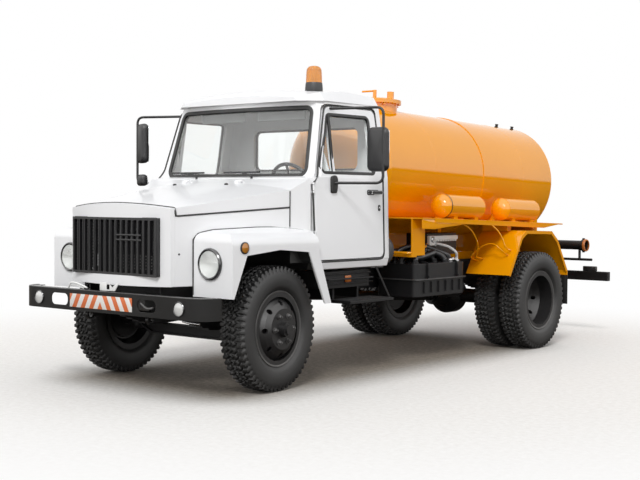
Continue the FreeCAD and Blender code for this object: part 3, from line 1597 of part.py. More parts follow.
def steering_wheel():
    """A rim on three spokes and a boss, square to the column."""
    centre = V(driver_seat_x, steering_wheel_y, steering_wheel_z)
    dy, dz = tilted(0, 0, 1, steer_slope_deg)
    axis = V(0, dy, dz)
    ring = Part.makeTorus(steering_wheel_radius, steering_rim_radius, centre, axis)
    boss = rod(centre - axis * steering_rim_radius, centre + axis * steering_rim_radius, column_radius * 1.5)
    spokes = []
    across = V(0, -dz, dy)
    for index in range(3):
        angle = math.radians(90 + 120 * index)
        out = AXIS_X * math.cos(angle) + across * math.sin(angle)
        spokes.append(rod(centre, centre + out * steering_wheel_radius, steering_rim_radius * 0.7))
    return joined([ring, boss] + spokes)


def seat(x, half):
    """A cushion and a leaning back on one frame."""
    back_y = seat_front + seat_depth
    cushion = block((x - half, x + half), (seat_front, back_y), (seat_bottom, seat_bottom + seat_height))
    lean = seat_back_depth * 0.5
    back = side_plate([(back_y - seat_back_depth, seat_bottom + seat_height),
                       (back_y, seat_bottom + seat_height), (back_y + lean, seat_bottom + seat_back_height),
                       (back_y + lean - seat_back_depth, seat_bottom + seat_back_height)],
                      (x - half, x + half))
    return joined([cushion, back])


def seat_base(x, half):
    return block((x - half * 0.8, x + half * 0.8), (seat_front + seat_leg, seat_front + seat_depth - seat_leg),
                 (floor_top, seat_bottom - seat_gap))


keep("dashboard", joined([dashboard(), steering_column()]))
keep("steering_wheel", steering_wheel())
keep("seats", apart([seat(driver_seat_x, driver_seat_half), seat(bench_x, bench_half)]))
cab_mounts = []
for side in (-1, 1):
    for y in (cab_mount_front, cab_mount_rear):
        cab_mounts.append(block((side * (rail_half_width - rail_flange), side * rail_half_width),
                                (y - rail_flange / 2, y + rail_flange / 2), (rail_top + seat_gap, floor_top)))
keep("cab_floor", joined([nodes["cab_floor"], seat_base(driver_seat_x, driver_seat_half),
                          seat_base(bench_x, bench_half)] + cab_mounts))


# Beacon and wipers

def roof_height(x, y):
    line = Part.LineSegment(V(x, y, gutter_z), V(x, y, roof_crown_z + overrun)).toShape()
    return nodes["cab_roof"].section(line).BoundBox.ZMax


beacon_foot = roof_height(beacon_x, beacon_y)
beacon_centre = V(beacon_x, beacon_y, beacon_foot)
beacon_base = turned([(-roof_wall / 4, 0), (-roof_wall / 4, beacon_radius), (beacon_base_height, beacon_radius),
                      (beacon_base_height, 0)], beacon_centre, AXIS_Z).cut(nodes["cab_roof"])
beacon_dome = turned([(beacon_base_height + seat_gap, 0), (beacon_base_height + seat_gap, beacon_radius * 0.92),
                      (beacon_height * 0.8, beacon_radius * 0.82), (beacon_height, beacon_radius * 0.4),
                      (beacon_height, 0)], beacon_centre, AXIS_Z)
keep("beacon", apart([beacon_base, beacon_dome]))


def wiper(x):
    """An arm that stands on the cowl, with a straight blade along the screen's foot."""
    y = cab_front - running_gap
    z = belt_z + wiper_radius
    tip = V(x - wiper_blade_length * 0.3, y - wiper_radius, z + wiper_radius * 4)
    pivot_y = y - wiper_radius * 2
    pivot = rod(V(x, pivot_y, belt_z - cowl_wall), V(x, pivot_y, z + wiper_radius), wiper_radius)
    arm = rod(V(x, pivot_y, z), tip, wiper_radius * 0.8)
    blade = rod(tip - AXIS_X * (wiper_blade_length / 2), tip + AXIS_X * (wiper_blade_length / 2), wiper_radius * 0.8)
    return joined([pivot, arm, blade]).cut(nodes["cowl"]).cut(nodes["cab_frame"])


keep("wipers", apart([wiper(wiper_pivot_left_x), wiper(wiper_pivot_right_x)]))


# Steps, step box and fuel tank

def step():
    """A flat tread on two arms from the frame, under the door, with a strap up to the sill."""
    tread = block((step_inner, step_outer), (step_front, step_rear), (step_z - step_wall, step_z))
    arms = []
    for share in step_arm_shares:
        y = step_front + (step_rear - step_front) * share
        arms.append(block((rail_half_width + seat_gap, step_inner + step_wall),
                          (y - step_wall / 2, y + step_wall / 2), (step_z, rail_bottom + member_width)))
        arms.append(block((step_inner, step_inner + step_wall), (y - step_wall / 2, y + step_wall / 2),
                          (step_z - step_wall, rail_bottom + member_width)))
    strap = side_plate([(step_strap_y - step_strap_width / 2, sill_bottom - seat_gap),
                        (step_rear - step_strap_width, step_z - step_wall / 2), (step_rear, step_z - step_wall / 2),
                        (step_strap_y + step_strap_width / 2, sill_bottom - seat_gap)],
                       (sill_half - step_wall / 2, sill_half - step_wall / 4))
    return joined([tread, strap] + arms)


def step_box():
    """The closed box behind the steps, carried on the frame, with two ledges."""
    low = rail_bottom + member_width + seat_gap
    body = block((step_box_inner, step_box_outer), (step_box_front, step_box_rear), (low, step_box_top))
    foot = block((rail_half_width + seat_gap, step_box_inner), (step_box_front, step_box_rear),
                 (low, low + step_wall))
    ledge = block((step_box_outer, step_box_outer + step_wall * 2), (step_box_front, step_box_rear),
                  (low + (step_box_top - low) / 2, low + (step_box_top - low) / 2 + step_wall / 2))
    return joined([body, foot, ledge])


left_steps = [step(), step_box()]
keep("steps", apart(left_steps + [mirrored(shape) for shape in left_steps]))


def fuel_tank():
    """Two pressed halves with a flange all round at the seam, carried beside the left rail."""
    shell = floor_plate([(fuel_inner, fuel_front), (fuel_outer, fuel_front), (fuel_outer, fuel_rear),
                         (fuel_inner, fuel_rear)], (fuel_bottom, fuel_top), fuel_corner)
    lip = fuel_seam_lip
    seam = floor_plate([(fuel_inner - lip / 2, fuel_front - lip), (fuel_outer + lip, fuel_front - lip),
                        (fuel_outer + lip, fuel_rear + lip), (fuel_inner - lip / 2, fuel_rear + lip)],
                       (fuel_seam_z - lip / 4, fuel_seam_z + lip / 4), fuel_corner)
    holders = []
    for share in (0.2, 0.8):
        y = fuel_front + (fuel_rear - fuel_front) * share
        holders.append(block((rail_half_width + seat_gap, fuel_inner + lip),
                             (y - member_width / 2, y + member_width / 2), (rail_bottom, rail_top)))
    return joined([shell, seam] + holders)


keep("fuel_tank", fuel_tank())


# Tank

tilt = math.radians(tank_tilt_deg)
tank_axis = V(0, math.cos(tilt), -math.sin(tilt))
tank_up = V(0, math.sin(tilt), math.cos(tilt))
tank_front_centre = V(0, tank_front, tank_front_z)
tank_length = (tank_rear - tank_front) / math.cos(tilt)


def on_axis(y):
    """The point on the tank's axis that stands at a place along the truck."""
    return tank_front_centre + tank_axis * ((y - tank_front) / math.cos(tilt))


def barrel(radius, length, dish):
    """A round barrel along +Z with a dished end at each side of its straight length."""
    bulge = (radius ** 2 + dish ** 2) / (2 * dish)
    flat = [V(0, 0, -dish), V(0, radius, 0), V(0, radius, length), V(0, 0, length + dish)]
    angle = math.asin(radius / bulge) / 2
    near = V(0, bulge * math.sin(angle), bulge - dish - bulge * math.cos(angle))
    far = V(0, near.y, length - near.z)
    edges = [Part.Arc(flat[0], near, flat[1]).toShape(), Part.LineSegment(flat[1], flat[2]).toShape(),
             Part.Arc(flat[2], far, flat[3]).toShape(), Part.LineSegment(flat[3], flat[0]).toShape()]
    return Part.Face(Part.Wire(edges)).revolve(ORIGIN, AXIS_Z, 360)


def tank():
    """The main barrel with a weld band round it, tilted to drain to the rear."""
    body = barrel(tank_radius, tank_length, dish_depth)
    band_at = (band_y - tank_front) / math.cos(tilt)
    band = turned([(0, tank_radius - band_height), (0, tank_radius + band_height),
                   (band_width, tank_radius + band_height), (band_width, tank_radius - band_height)],
                  V(0, 0, band_at - band_width / 2), AXIS_Z)
    body = joined([body, band])
    body.rotate(ORIGIN, AXIS_X, -90 - tank_tilt_deg)
    body.translate(tank_front_centre)
    return body


neck_foot = on_axis(neck_y)
neck_top = neck_foot + tank_up * (tank_radius + neck_rise)


def at_neck(shape):
    """Sets a piece made on a level neck onto the tilted one."""
    placed = shape.copy()
    placed.rotate(ORIGIN, AXIS_X, -tank_tilt_deg)
    placed.translate(neck_top)
    return placed


hinge_back = flange_radius + lid_hinge_gap
hinge_up = lid_height / 2


def neck():
    """The manhole's neck with its flange, and two lugs with a pin for the lid."""
    pipe = rod(V(0, 0, -neck_rise - tank_radius), ORIGIN, neck_radius)
    collar = rod(V(0, 0, -flange_height), ORIGIN, flange_radius)
    lugs = []
    low = lid_strap_half + running_gap
    for side in (-1, 1):
        lugs.append(side_plate([(neck_radius, -flange_height), (hinge_back, -flange_height),
                                (hinge_back + lid_knuckle_radius, hinge_up),
                                (hinge_back, hinge_up + lid_knuckle_radius),
                                (flange_radius + running_gap, hinge_up), (flange_radius, -running_gap),
                                (neck_radius, -running_gap)],
                               (side * low, side * (low + lid_lug_wall))))
    pin_end = low + lid_lug_wall / 2
    pin = rod(V(-pin_end, hinge_back, hinge_up), V(pin_end, hinge_back, hinge_up), lid_pin_radius)
    return at_neck(joined([pipe, collar, pin] + lugs))


keep("tank", joined([tank(), neck()]))


def lid():
    """The round cover of the manhole, with its lever, its safety valve and its hinge strap."""
    cover = turned([(seat_gap, 0), (seat_gap, flange_radius), (lid_height / 2, flange_radius),
                    (lid_height, flange_radius * 0.8), (lid_height, 0)], ORIGIN, AXIS_Z)
    post = rod(V(0, 0, seat_gap), V(0, 0, lever_height + lever_radius), lever_radius * 2)
    lever = rod(V(-lever_length, 0, lever_height), V(0, 0, lever_height), lever_radius)
    valve = rod(V(valve_x, valve_y, seat_gap), V(valve_x, valve_y, valve_height), valve_radius)
    strap = side_plate([(0, lid_height / 2), (hinge_back, hinge_up - lid_knuckle_radius * 0.2),
                        (hinge_back, hinge_up + lid_knuckle_radius), (0, lid_height * 1.4)],
                       (-lid_strap_half, lid_strap_half))
    knuckle = rod(V(-lid_strap_half, hinge_back, hinge_up), V(lid_strap_half, hinge_back, hinge_up),
                  lid_knuckle_radius)
    bore = rod(V(-overrun, hinge_back, hinge_up), V(overrun, hinge_back, hinge_up), lid_pin_radius + pin_gap)
    return at_neck(joined([cover, post, lever, valve, strap, knuckle]).cut(bore))


keep("hatch_lid", lid())


# Tank bed

def bed():
    """Two rails along the frame, with saddles that cup the tank and an upright at the left front."""
    pieces = []
    seat_z = rail_top + seat_gap
    rail_end_z = seat_z + bed_rail_width
    for side in (-1, 1):
        x = side * (rail_half_width - rail_flange / 2)
        pieces.append(block((x - bed_rail_width / 2, x + bed_rail_width / 2), (bed_rail_front, bed_rail_rear),
                            (seat_z, rail_end_z)))
    hollow = Part.makeCylinder(tank_radius + seat_gap, tank_length + 2 * overrun,
                               tank_front_centre - tank_axis * overrun, tank_axis)
    for index in range(saddle_count):
        y = bed_rail_front + (bed_rail_rear - bed_rail_front - saddle_width) * index / (saddle_count - 1)
        y = min(max(y, tank_front + saddle_width), tank_rear - saddle_width * 2)
        top = on_axis(y).z - math.sqrt(tank_radius ** 2 - saddle_half ** 2) + saddle_width
        knee = fuel_top + running_gap
        section = []
        for side in (-1, 1):
            half = [(side * rail_half_width, seat_z), (side * rail_half_width, knee),
                    (side * saddle_half, knee + saddle_width), (side * saddle_half, top)]
            section += half if side > 0 else half[::-1]
        pieces.append(cross_plate(section, (y, y + saddle_width)).cut(hollow))
    return joined(pieces)


keep("tank_bed", bed())


def shelf_line(y):
    """The height of the side shelf, parallel to the tank's axis."""
    return shelf_front_z - (y - shelf_front) * math.tan(tilt)


def shelf():
    """A side shelf with a turned-down edge, its front upright and its gusset."""
    def strip(x_range, drop_top, drop_low, start, end):
        return side_plate([(start, shelf_line(start) - drop_low), (end, shelf_line(end) - drop_low),
                           (end, shelf_line(end) - drop_top), (start, shelf_line(start) - drop_top)], x_range)

    top = strip((shelf_inner - overrun / 2, shelf_outer), 0, shelf_wall, upright_front, shelf_rear)
    edge = side_plate([(upright_rear, shelf_line(upright_rear) - shelf_lip),
                       (shelf_rear - overrun, shelf_line(shelf_rear) - shelf_lip),
                       (shelf_rear, shelf_line(shelf_rear)), (upright_rear, shelf_line(upright_rear))],
                      (shelf_outer - shelf_wall, shelf_outer))
    post_top = shelf_line(upright_rear) - seat_gap
    post = block((upright_outer - upright_wall, upright_outer), (upright_front, upright_rear),
                 (upright_bottom, post_top))
    kink_along, kink_drop = gusset_kink_shares
    kink_y = upright_rear + gusset_length * kink_along
    end_y = upright_rear + gusset_length
    gusset = side_plate([(upright_rear - upright_wall, shelf_line(upright_rear) - shelf_wall / 2),
                         (upright_rear - upright_wall, shelf_line(upright_rear) - gusset_depth),
                         (kink_y, shelf_line(kink_y) - gusset_depth * kink_drop),
                         (end_y, shelf_line(end_y) - shelf_wall / 2)],
                        (upright_outer - upright_wall, upright_outer))
    beam = block((rail_half_width - rail_flange / 2, upright_outer), (upright_front, upright_front + member_width),
                 (upright_bottom - shelf_wall, upright_bottom + shelf_wall))
    hollow = Part.makeCylinder(tank_radius + seat_gap, tank_length + 2 * dish_depth,
                               tank_front_centre - tank_axis * dish_depth, tank_axis)
    band = Part.makeCylinder(tank_radius + band_height + seat_gap, band_width + 2 * seat_gap,
                             on_axis(band_y) - tank_axis * (band_width / 2 + seat_gap), tank_axis)
    return joined([top, edge, post, gusset, beam]).cut(hollow).cut(band)


left_shelf = shelf().cut(nodes["tank_bed"])
keep("side_shelves", apart([left_shelf, mirrored(left_shelf)]))


shelf_length = shelf_rear - upright_front
vessel_length = shelf_length * vessel_length_share


def vessel(start):
    """A small tank with domed ends on two feet, lying along the shelf."""
    dome = vessel_radius * 0.6
    body = barrel(vessel_radius, vessel_length - 2 * dome, dome)
    body.rotate(ORIGIN, AXIS_X, -90 - tank_tilt_deg)
    front = start + dome
    centre_z = shelf_line(front) + seat_gap + vessel_radius / math.cos(tilt) + vessel_lift
    body.translate(V(vessel_x, front, centre_z))
    feet = []
    for share in (0.25, 0.75):
        y = start + vessel_length * share
        low = shelf_line(y) + seat_gap
        low_rear = shelf_line(y + vessel_foot_width) + seat_gap
        feet.append(side_plate([(y, low), (y + vessel_foot_width, low_rear),
                                (y + vessel_foot_width, low_rear + vessel_radius),
                                (y, low + vessel_radius)],
                               (vessel_x - vessel_radius * 0.6, vessel_x + vessel_radius * 0.6)))
    return joined([body] + feet)


left_vessels = [vessel(upright_front + shelf_length * share) for share in vessel_start_shares]
keep("vessels", apart(left_vessels + [mirrored(shape) for shape in left_vessels]))


# Pump and control panel

def pump():
    """A vane pump on a plate across the left rail: a ribbed drum with a port on top."""
    start = V(pump_x, pump_front, pump_z)
    step_y = pump_length / pump_ribs

    profile = [(0, 0), (0, pump_radius * 0.8)]
    for index in range(pump_ribs):
        y = step_y * index
        profile += [(y + step_y * 0.2, pump_radius), (y + step_y * 0.6, pump_radius),
                    (y + step_y * 0.8, pump_radius * 0.86)]
    profile += [(pump_length, pump_radius * 0.8), (pump_length, 0)]
    drum = turned(profile, start, AXIS_Y)
    plate = block((rail_half_width - rail_flange, pump_x + pump_radius), (pump_front, pump_front + pump_length / 2),
                  (rail_top + seat_gap, rail_top + rail_wall))
    foot = block((pump_x - pump_radius / 2, pump_x + pump_radius / 2),
                 (pump_front + rail_wall, pump_front + pump_length / 2), (rail_top + rail_wall / 2, pump_z))
    return joined([drum, plate, foot])


keep("pump", pump())


def control_panel():
    """A shallow box behind the upright, with its front plate facing out."""
    body = block((panel_inner, panel_outer), (panel_front, panel_rear), (panel_bottom, panel_top))
    leg = block((rail_half_width, panel_inner + member_width), (panel_front, panel_front + member_width),
                (fuel_top + running_gap, panel_bottom + shelf_wall))
    rear_leg = leg.copy()
    rear_leg.translate(V(0, panel_rear - panel_front - member_width, 0))
    bed_side = rail_half_width - rail_flange / 2 + bed_rail_width / 2 + seat_gap
    clear = block((0, bed_side), (panel_front - overrun, panel_rear + overrun), (0, panel_top))
    return joined([body, leg, rear_leg]).cut(clear)


keep("control_panel", control_panel())


# Rear mudguards and flaps

def guard_line(inset):
    points = []
    for along, height in guard_points_shares:
        points.append((wheelbase + along * guard_unit, height * guard_unit))
    middle = (wheelbase, axle_z)
    moved = []
    for y, z in points:
        dy, dz = y - middle[0], z - middle[1]
        length = math.hypot(dy, dz)
        moved.append((y - dy / length * inset, z - dz / length * inset))
    return moved


def mudguard():
    """A folded guard over the twin wheels, with a cheek outside and an arm to the frame."""
    outer = guard_line(0)
    inner = guard_line(guard_wall)
    band = side_plate(outer + inner[::-1], (guard_inner, guard_outer))
    cheek = side_plate(outer + guard_line(guard_wall * 4)[::-1], (guard_outer - guard_wall, guard_outer))
    end_y = wheelbase + guard_points_shares[-1][0] * guard_unit
    end_z = guard_points_shares[-1][1] * guard_unit
    lip = block((guard_inner, guard_outer), (end_y - guard_wall, end_y), (end_z - flap_lap, end_z))
    arms = []
    for share_index in (2, 3):
        y = wheelbase + guard_points_shares[share_index][0] * guard_unit
        z = guard_points_shares[share_index][1] * guard_unit
        arms.append(block((guard_inner, guard_outer - overrun / 2), (y - member_width / 2, y + member_width / 2),
                          (z - guard_wall, shelf_line(y + member_width / 2) - shelf_wall - seat_gap)))
    return joined([band, cheek, lip] + arms)


def flap():
    y = wheelbase + guard_points_shares[-1][0] * guard_unit + seat_gap
    z = guard_points_shares[-1][1] * guard_unit
    return block((guard_inner, guard_outer), (y, y + flap_wall), (flap_bottom, z))


keep("mudguards", apart([mudguard(), mirrored(mudguard())]))
keep("mud_flaps", apart([flap(), mirrored(flap())]))


# Rear beam, lamps and suction pipe

def rear_beam():
    """A box beam across the rear, on two arms from the frame."""
    rear = frame_rear
    beam = block((-beam_half, beam_half), (rear - beam_depth, rear), (beam_bottom, beam_top))
    arms = []
    for side in (-1, 1):
        x = side * (rail_half_width - rail_wall / 2)
        arms.append(block((x - rail_wall, x + rail_wall), (rail_rear + seat_gap, rear - beam_depth / 2),
                          (beam_bottom, rail_top)))
    return joined([beam] + arms)


def rear_lamp(side):
    x = side * rear_lamp_x
    low = beam_top + seat_gap
    return block((x - rear_lamp_half, x + rear_lamp_half), (frame_rear - rear_lamp_depth, frame_rear),
                 (low, low + rear_lamp_height))


def suction_pipe():
    """A pipe across the rear with a coupling at its left end, under the tank's drain."""
    inner = -rail_half_width
    pipe = rod(V(inner, suction_y, suction_z), V(suction_end_x, suction_y, suction_z), suction_radius)
    cap = rod(V(suction_end_x - suction_cap_length, suction_y, suction_z), V(suction_end_x, suction_y, suction_z),
              suction_cap_radius)
    bore = rod(V(suction_end_x - suction_cap_length * 4, suction_y, suction_z),
               V(suction_end_x + overrun, suction_y, suction_z), suction_bore_radius)
    posts = []
    for side in (-1, 1):
        x = side * (rail_half_width - rail_flange / 2)
        posts.append(block((x - rail_flange / 2, x + rail_flange / 2),
                           (suction_y - rail_flange / 2, suction_y + rail_flange / 2),
                           (rail_top + seat_gap, suction_z)))
    bar = rod(V(-rear_bar_half, suction_y, rear_bar_z), V(rear_bar_half, suction_y, rear_bar_z), rear_bar_radius)
    hanger_x = suction_end_x - suction_cap_length * 2
    posts.append(rod(V(hanger_x, suction_y, rear_bar_z), V(hanger_x, suction_y, suction_z), rear_bar_radius))
    return joined([pipe, cap, bar] + posts).cut(bore)


keep("rear_beam", rear_beam())
lamps = fog_lamps()
for side in (-1, 1):
    lamps += [headlamp(side), turn_lamp(side), rear_lamp(side)]
keep("lamps", apart(lamps))
keep("suction_pipe", suction_pipe())


# Every node goes to its own file, the whole truck moved so that its middle is y = 0
front_end = front_overhang + fog_lamp_depth + seat_gap
shift = (front_end - frame_rear) / 2
os.makedirs("parts", exist_ok=True)
for name, shape in nodes.items():
    final = shape.copy()
    final.translate(V(0, shift, 0))
    final.exportStep("parts/" + name + ".step")
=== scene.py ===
import json
import math

import bmesh
import bpy
import numpy as np
from mathutils import Matrix, Vector
from mathutils.bvhtree import BVHTree
from mathutils.geometry import convex_hull_2d

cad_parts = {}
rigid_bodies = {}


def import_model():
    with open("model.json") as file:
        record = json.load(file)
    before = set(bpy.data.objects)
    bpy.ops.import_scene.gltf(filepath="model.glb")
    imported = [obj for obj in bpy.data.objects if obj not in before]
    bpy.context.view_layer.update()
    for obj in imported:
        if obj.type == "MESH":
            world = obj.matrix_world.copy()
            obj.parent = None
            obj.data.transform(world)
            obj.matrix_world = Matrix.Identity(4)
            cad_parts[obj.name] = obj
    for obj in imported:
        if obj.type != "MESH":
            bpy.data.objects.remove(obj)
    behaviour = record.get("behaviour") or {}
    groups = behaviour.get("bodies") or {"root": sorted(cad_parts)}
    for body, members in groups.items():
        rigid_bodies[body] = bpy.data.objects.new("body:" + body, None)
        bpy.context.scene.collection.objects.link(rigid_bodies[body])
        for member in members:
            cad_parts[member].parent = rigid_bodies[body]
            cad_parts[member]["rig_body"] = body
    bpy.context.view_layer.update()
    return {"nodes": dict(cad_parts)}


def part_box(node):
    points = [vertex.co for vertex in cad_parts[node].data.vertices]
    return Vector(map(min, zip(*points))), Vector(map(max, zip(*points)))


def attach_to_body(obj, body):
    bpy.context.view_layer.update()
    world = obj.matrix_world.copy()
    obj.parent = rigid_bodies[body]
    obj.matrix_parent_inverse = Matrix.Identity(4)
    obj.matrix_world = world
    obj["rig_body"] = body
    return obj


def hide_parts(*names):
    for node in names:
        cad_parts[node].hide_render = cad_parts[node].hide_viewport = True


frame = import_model()

# The looks of the tanker truck. Lengths are in metres. Places are given from the front axle: x to the truck's
# left, y to the rear, z up from the ground. A piece moves into the frame when it is kept.

WHEELBASE = 3.770
REAR_LOW, REAR_HIGH = (np.array(corner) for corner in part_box("tyres_rear_left"))
AXLE_SHIFT = np.array([0.0, (REAR_LOW[1] + REAR_HIGH[1]) / 2 - WHEELBASE, 0.0])
SIDES = {"left": 1.0, "right": -1.0}
X, Y, Z = np.eye(3)


# Surfaces

def grid(points, round_rows=False, round_cols=False):
    """A sheet of quads through a table of points, closed round along its rows or columns where asked."""
    rows, cols = points.shape[:2]
    i = np.arange(rows if round_rows else rows - 1)[:, None]
    j = np.arange(cols if round_cols else cols - 1)[None, :]
    down, right = (i + 1) % rows, (j + 1) % cols
    faces = np.stack([i * cols + j, i * cols + right, down * cols + right, down * cols + j], -1)
    return points.reshape(-1, 3), faces.reshape(-1, 4)


def merged(parts):
    """Several sheets as one."""
    counts = np.cumsum([0] + [len(points) for points, faces in parts[:-1]])
    return (np.concatenate([points for points, faces in parts]),
            np.concatenate([faces + first for (points, faces), first in zip(parts, counts)]))


def mirrored(part):
    """The same sheet on the other side of the truck: x changes sign and each face turns round."""
    points, faces = part
    return points * (-1.0, 1.0, 1.0), faces[:, ::-1]


def moved(part, shift):
    """The same sheet with the shift added to each point."""
    points, faces = part
    return points + np.asarray(shift), faces


def across(axis):
    """Two unit lines square to an axis and to each other."""
    axis = np.asarray(axis, float) / np.linalg.norm(axis)
    first = np.cross(axis, Z if abs(axis[2]) < 0.9 else X)
    first /= np.linalg.norm(first)
    return axis, first, np.cross(axis, first)


def turned(profile, centre, axis, sides=48):
    """Each profile point (radius r, distance d) goes round the axis: centre + d axis + r (cos t u + sin t v)."""
    axis, u, v = across(axis)
    radius, distance = np.asarray(profile, float).T
    t = np.linspace(0.0, 2 * math.pi, sides, endpoint=False)[None, :, None]
    ring = np.cos(t) * u + np.sin(t) * v
    points = np.asarray(centre) + distance[:, None, None] * axis + radius[:, None, None] * ring
    return grid(points, round_cols=True)


def smooth_line(points, steps=12):
    """A curve through all the points: each span is a cubic in t, and its slope at a point is half the step
    between that point's two neighbours."""
    p = np.asarray(points, float)
    p = np.concatenate([[2 * p[0] - p[1]], p, [2 * p[-1] - p[-2]]])
    t = np.linspace(0.0, 1.0, steps, endpoint=False)[None, :, None]
    a, b, c, d = (p[k:len(p) - 3 + k][:, None, :] for k in range(4))
    curve = 0.5 * (2 * b + (c - a) * t + (2 * a - 5 * b + 4 * c - d) * t ** 2 + (3 * b - a - 3 * c + d) * t ** 3)
    return np.concatenate([curve.reshape(-1, p.shape[1]), points[-1:]])


def swept(section, path, up, closed=False):
    """A section (a, b) carried along a path: path + a side + b top, where side is square to the path and to up.
    An open path's ends are closed to their middles."""
    path = np.asarray(path, float)
    ahead = np.roll(path, -1, 0) - np.roll(path, 1, 0)
    if not closed:
        ahead[0], ahead[-1] = path[1] - path[0], path[-1] - path[-2]
    side = np.cross(ahead, np.broadcast_to(np.asarray(up, float), path.shape))
    side /= np.linalg.norm(side, axis=1, keepdims=True)
    top = np.cross(side, ahead)
    top /= np.linalg.norm(top, axis=1, keepdims=True)
    section = np.asarray(section, float)
    points = (path[:, None] + section[None, :, :1] * side[:, None] + section[None, :, 1:] * top[:, None])
    if not closed:
        caps = np.broadcast_to(path[[0, -1]][:, None], (2,) + points.shape[1:])
        points = np.concatenate([caps[:1], points, caps[1:]])
    return grid(points, round_rows=closed, round_cols=True)


def circle(radius, sides=12):
    """A ring of points: radius x (cos t, sin t)."""
    t = np.linspace(0.0, 2 * math.pi, sides, endpoint=False)
    return np.stack([radius * np.cos(t), radius * np.sin(t)], -1)


def rounded_rectangle(width, height, corner, steps=6):
    """A rectangle about its middle whose corners are quarter circles."""
    t = (np.linspace(0.0, math.pi / 2, steps)[None, :] + np.arange(4)[:, None] * math.pi / 2).reshape(-1)
    centre_a = np.repeat([1, -1, -1, 1], steps) * (width / 2 - corner)
    centre_b = np.repeat([1, 1, -1, -1], steps) * (height / 2 - corner)
    return np.stack([centre_a + corner * np.cos(t), centre_b + corner * np.sin(t)], -1)


def tube(points, radius, up=(0.31, 0.17, 0.93), steps=10, sides=12):
    """A round bar along a smooth line."""
    return swept(circle(radius, sides), smooth_line(np.asarray(points, float), steps), up)


def slab(outline, centre, u, v, depth, edge):
    """A plate with a rounded rim: the outline in the plane of u and v, drawn in by the edge at both faces,
    stands depth thick along u x v."""
    u, v = np.asarray(u, float), np.asarray(v, float)
    out = np.cross(u, v)
    outline = np.asarray(outline, float)
    reach = np.abs(outline).max(0)
    t = np.linspace(0.0, math.pi / 2, 4)
    heights = np.concatenate([[0.0], edge * (1 - np.cos(t)), depth - edge * (1 - np.cos(t[::-1])), [depth]])
    insets = np.concatenate([[0.0], edge * (1 - np.sin(t)), edge * (1 - np.sin(t[::-1])), [0.0]])
    scale = 1 - insets[:, None] / reach[None, :]
    scale[[0, -1]] = 0.0
    flat = outline[None] * scale[:, None, :]
    points = (np.asarray(centre) + flat[..., :1] * u + flat[..., 1:] * v + heights[:, None, None] * out)
    return grid(points, round_cols=True)


def boxed(low, high, edge=0.004):
    """A box between two corners with rounded edges."""
    low, high = np.asarray(low, float), np.asarray(high, float)
    size = high - low
    corner = min(edge, size[0] * 0.49, size[1] * 0.49)
    base = [(low[0] + high[0]) / 2, (low[1] + high[1]) / 2, low[2]]
    return slab(rounded_rectangle(size[0], size[1], corner, 3), base, X, Y, size[2], min(edge, size[2] * 0.4))


# Keeping pieces

DOUBLES_WITHIN, PANEL_DOUBLES_WITHIN, NO_LENGTH = 1e-5, 2e-5, 1e-6
PIECE_CREASE_DEG, PANEL_CREASE_DEG, FLAT_WITHIN_DEG = 35.0, 32.0, 0.4


def mesh_of(points, faces):
    """A mesh whose doubled points are merged, with closed poles and outward faces."""
    mesh = bpy.data.meshes.new("surface")
    mesh.from_pydata(points.tolist(), [], faces.tolist())
    work = bmesh.new()
    work.from_mesh(mesh)
    bmesh.ops.remove_doubles(work, verts=work.verts, dist=DOUBLES_WITHIN)
    bmesh.ops.dissolve_degenerate(work, edges=work.edges, dist=NO_LENGTH)
    bmesh.ops.recalc_face_normals(work, faces=work.faces)
    work.to_mesh(mesh)
    work.free()
    return mesh


def finished(name, mesh, finish, crease_deg):
    """An object of one mesh in its finish, smooth up to the crease."""
    mesh.polygons.foreach_set("use_smooth", np.ones(len(mesh.polygons), bool))
    mesh.set_sharp_from_angle(angle=math.radians(crease_deg))
    mesh.materials.append(finish)
    piece = bpy.data.objects.new(name, mesh)
    bpy.context.scene.collection.objects.link(piece)
    return piece


def attach(piece, body, node=None):
    """Fixes a piece to its body and hides the plain solid it stands for, where one is given."""
    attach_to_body(piece, body)
    if node:
        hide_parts(node)


def keep(name, parts, finish, body, node=None):
    """Makes one piece of the truck of some sheets, in its finish, on its body and in place of its plain solid."""
    points, faces = merged(parts) if isinstance(parts, list) else parts
    attach(finished(name, mesh_of(points + AXLE_SHIFT, faces), finish, PIECE_CREASE_DEG), body, node)


def both(parts):
    """The parts of the left side and their mirror image on the right."""
    return parts + [mirrored(part) for part in parts]


def on_side(side, parts):
    """The parts of the left side as they are, or mirrored for the right."""
    return parts if side == "left" else [mirrored(part) for part in parts]


def solid_points(node):
    """A plain solid's corner places and triangles, from the front axle."""
    mesh = frame["nodes"][node].data
    points = np.empty(len(mesh.vertices) * 3, np.float32)
    mesh.vertices.foreach_get("co", points)
    corners = np.empty(len(mesh.loops), np.int32)
    mesh.loops.foreach_get("vertex_index", corners)
    return points.reshape(-1, 3).astype(float) - AXLE_SHIFT, corners.reshape(-1, 3)


def rounded_panel(node, finish, radius):
    """A copy of a plain solid with its flat faces joined, its sharp edges rounded and its curves smooth."""
    points, faces = solid_points(node)
    mesh = bpy.data.meshes.new(node)
    mesh.from_pydata((points + AXLE_SHIFT).tolist(), [], faces.tolist())
    work = bmesh.new()
    work.from_mesh(mesh)
    bmesh.ops.remove_doubles(work, verts=work.verts, dist=PANEL_DOUBLES_WITHIN)
    bmesh.ops.dissolve_limit(work, angle_limit=math.radians(FLAT_WITHIN_DEG), verts=work.verts, edges=work.edges)
    work.to_mesh(mesh)
    work.free()
    piece = finished(node + "_panel", mesh, finish, PANEL_CREASE_DEG)
    edge = piece.modifiers.new("rounded edges", "BEVEL")
    edge.width = radius
    edge.segments = 2
    edge.limit_method = "ANGLE"
    edge.angle_limit = math.radians(PANEL_CREASE_DEG)
    edge.harden_normals = True
    edge.use_clamp_overlap = True
    attach(piece, frame["nodes"][node]["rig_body"], node)


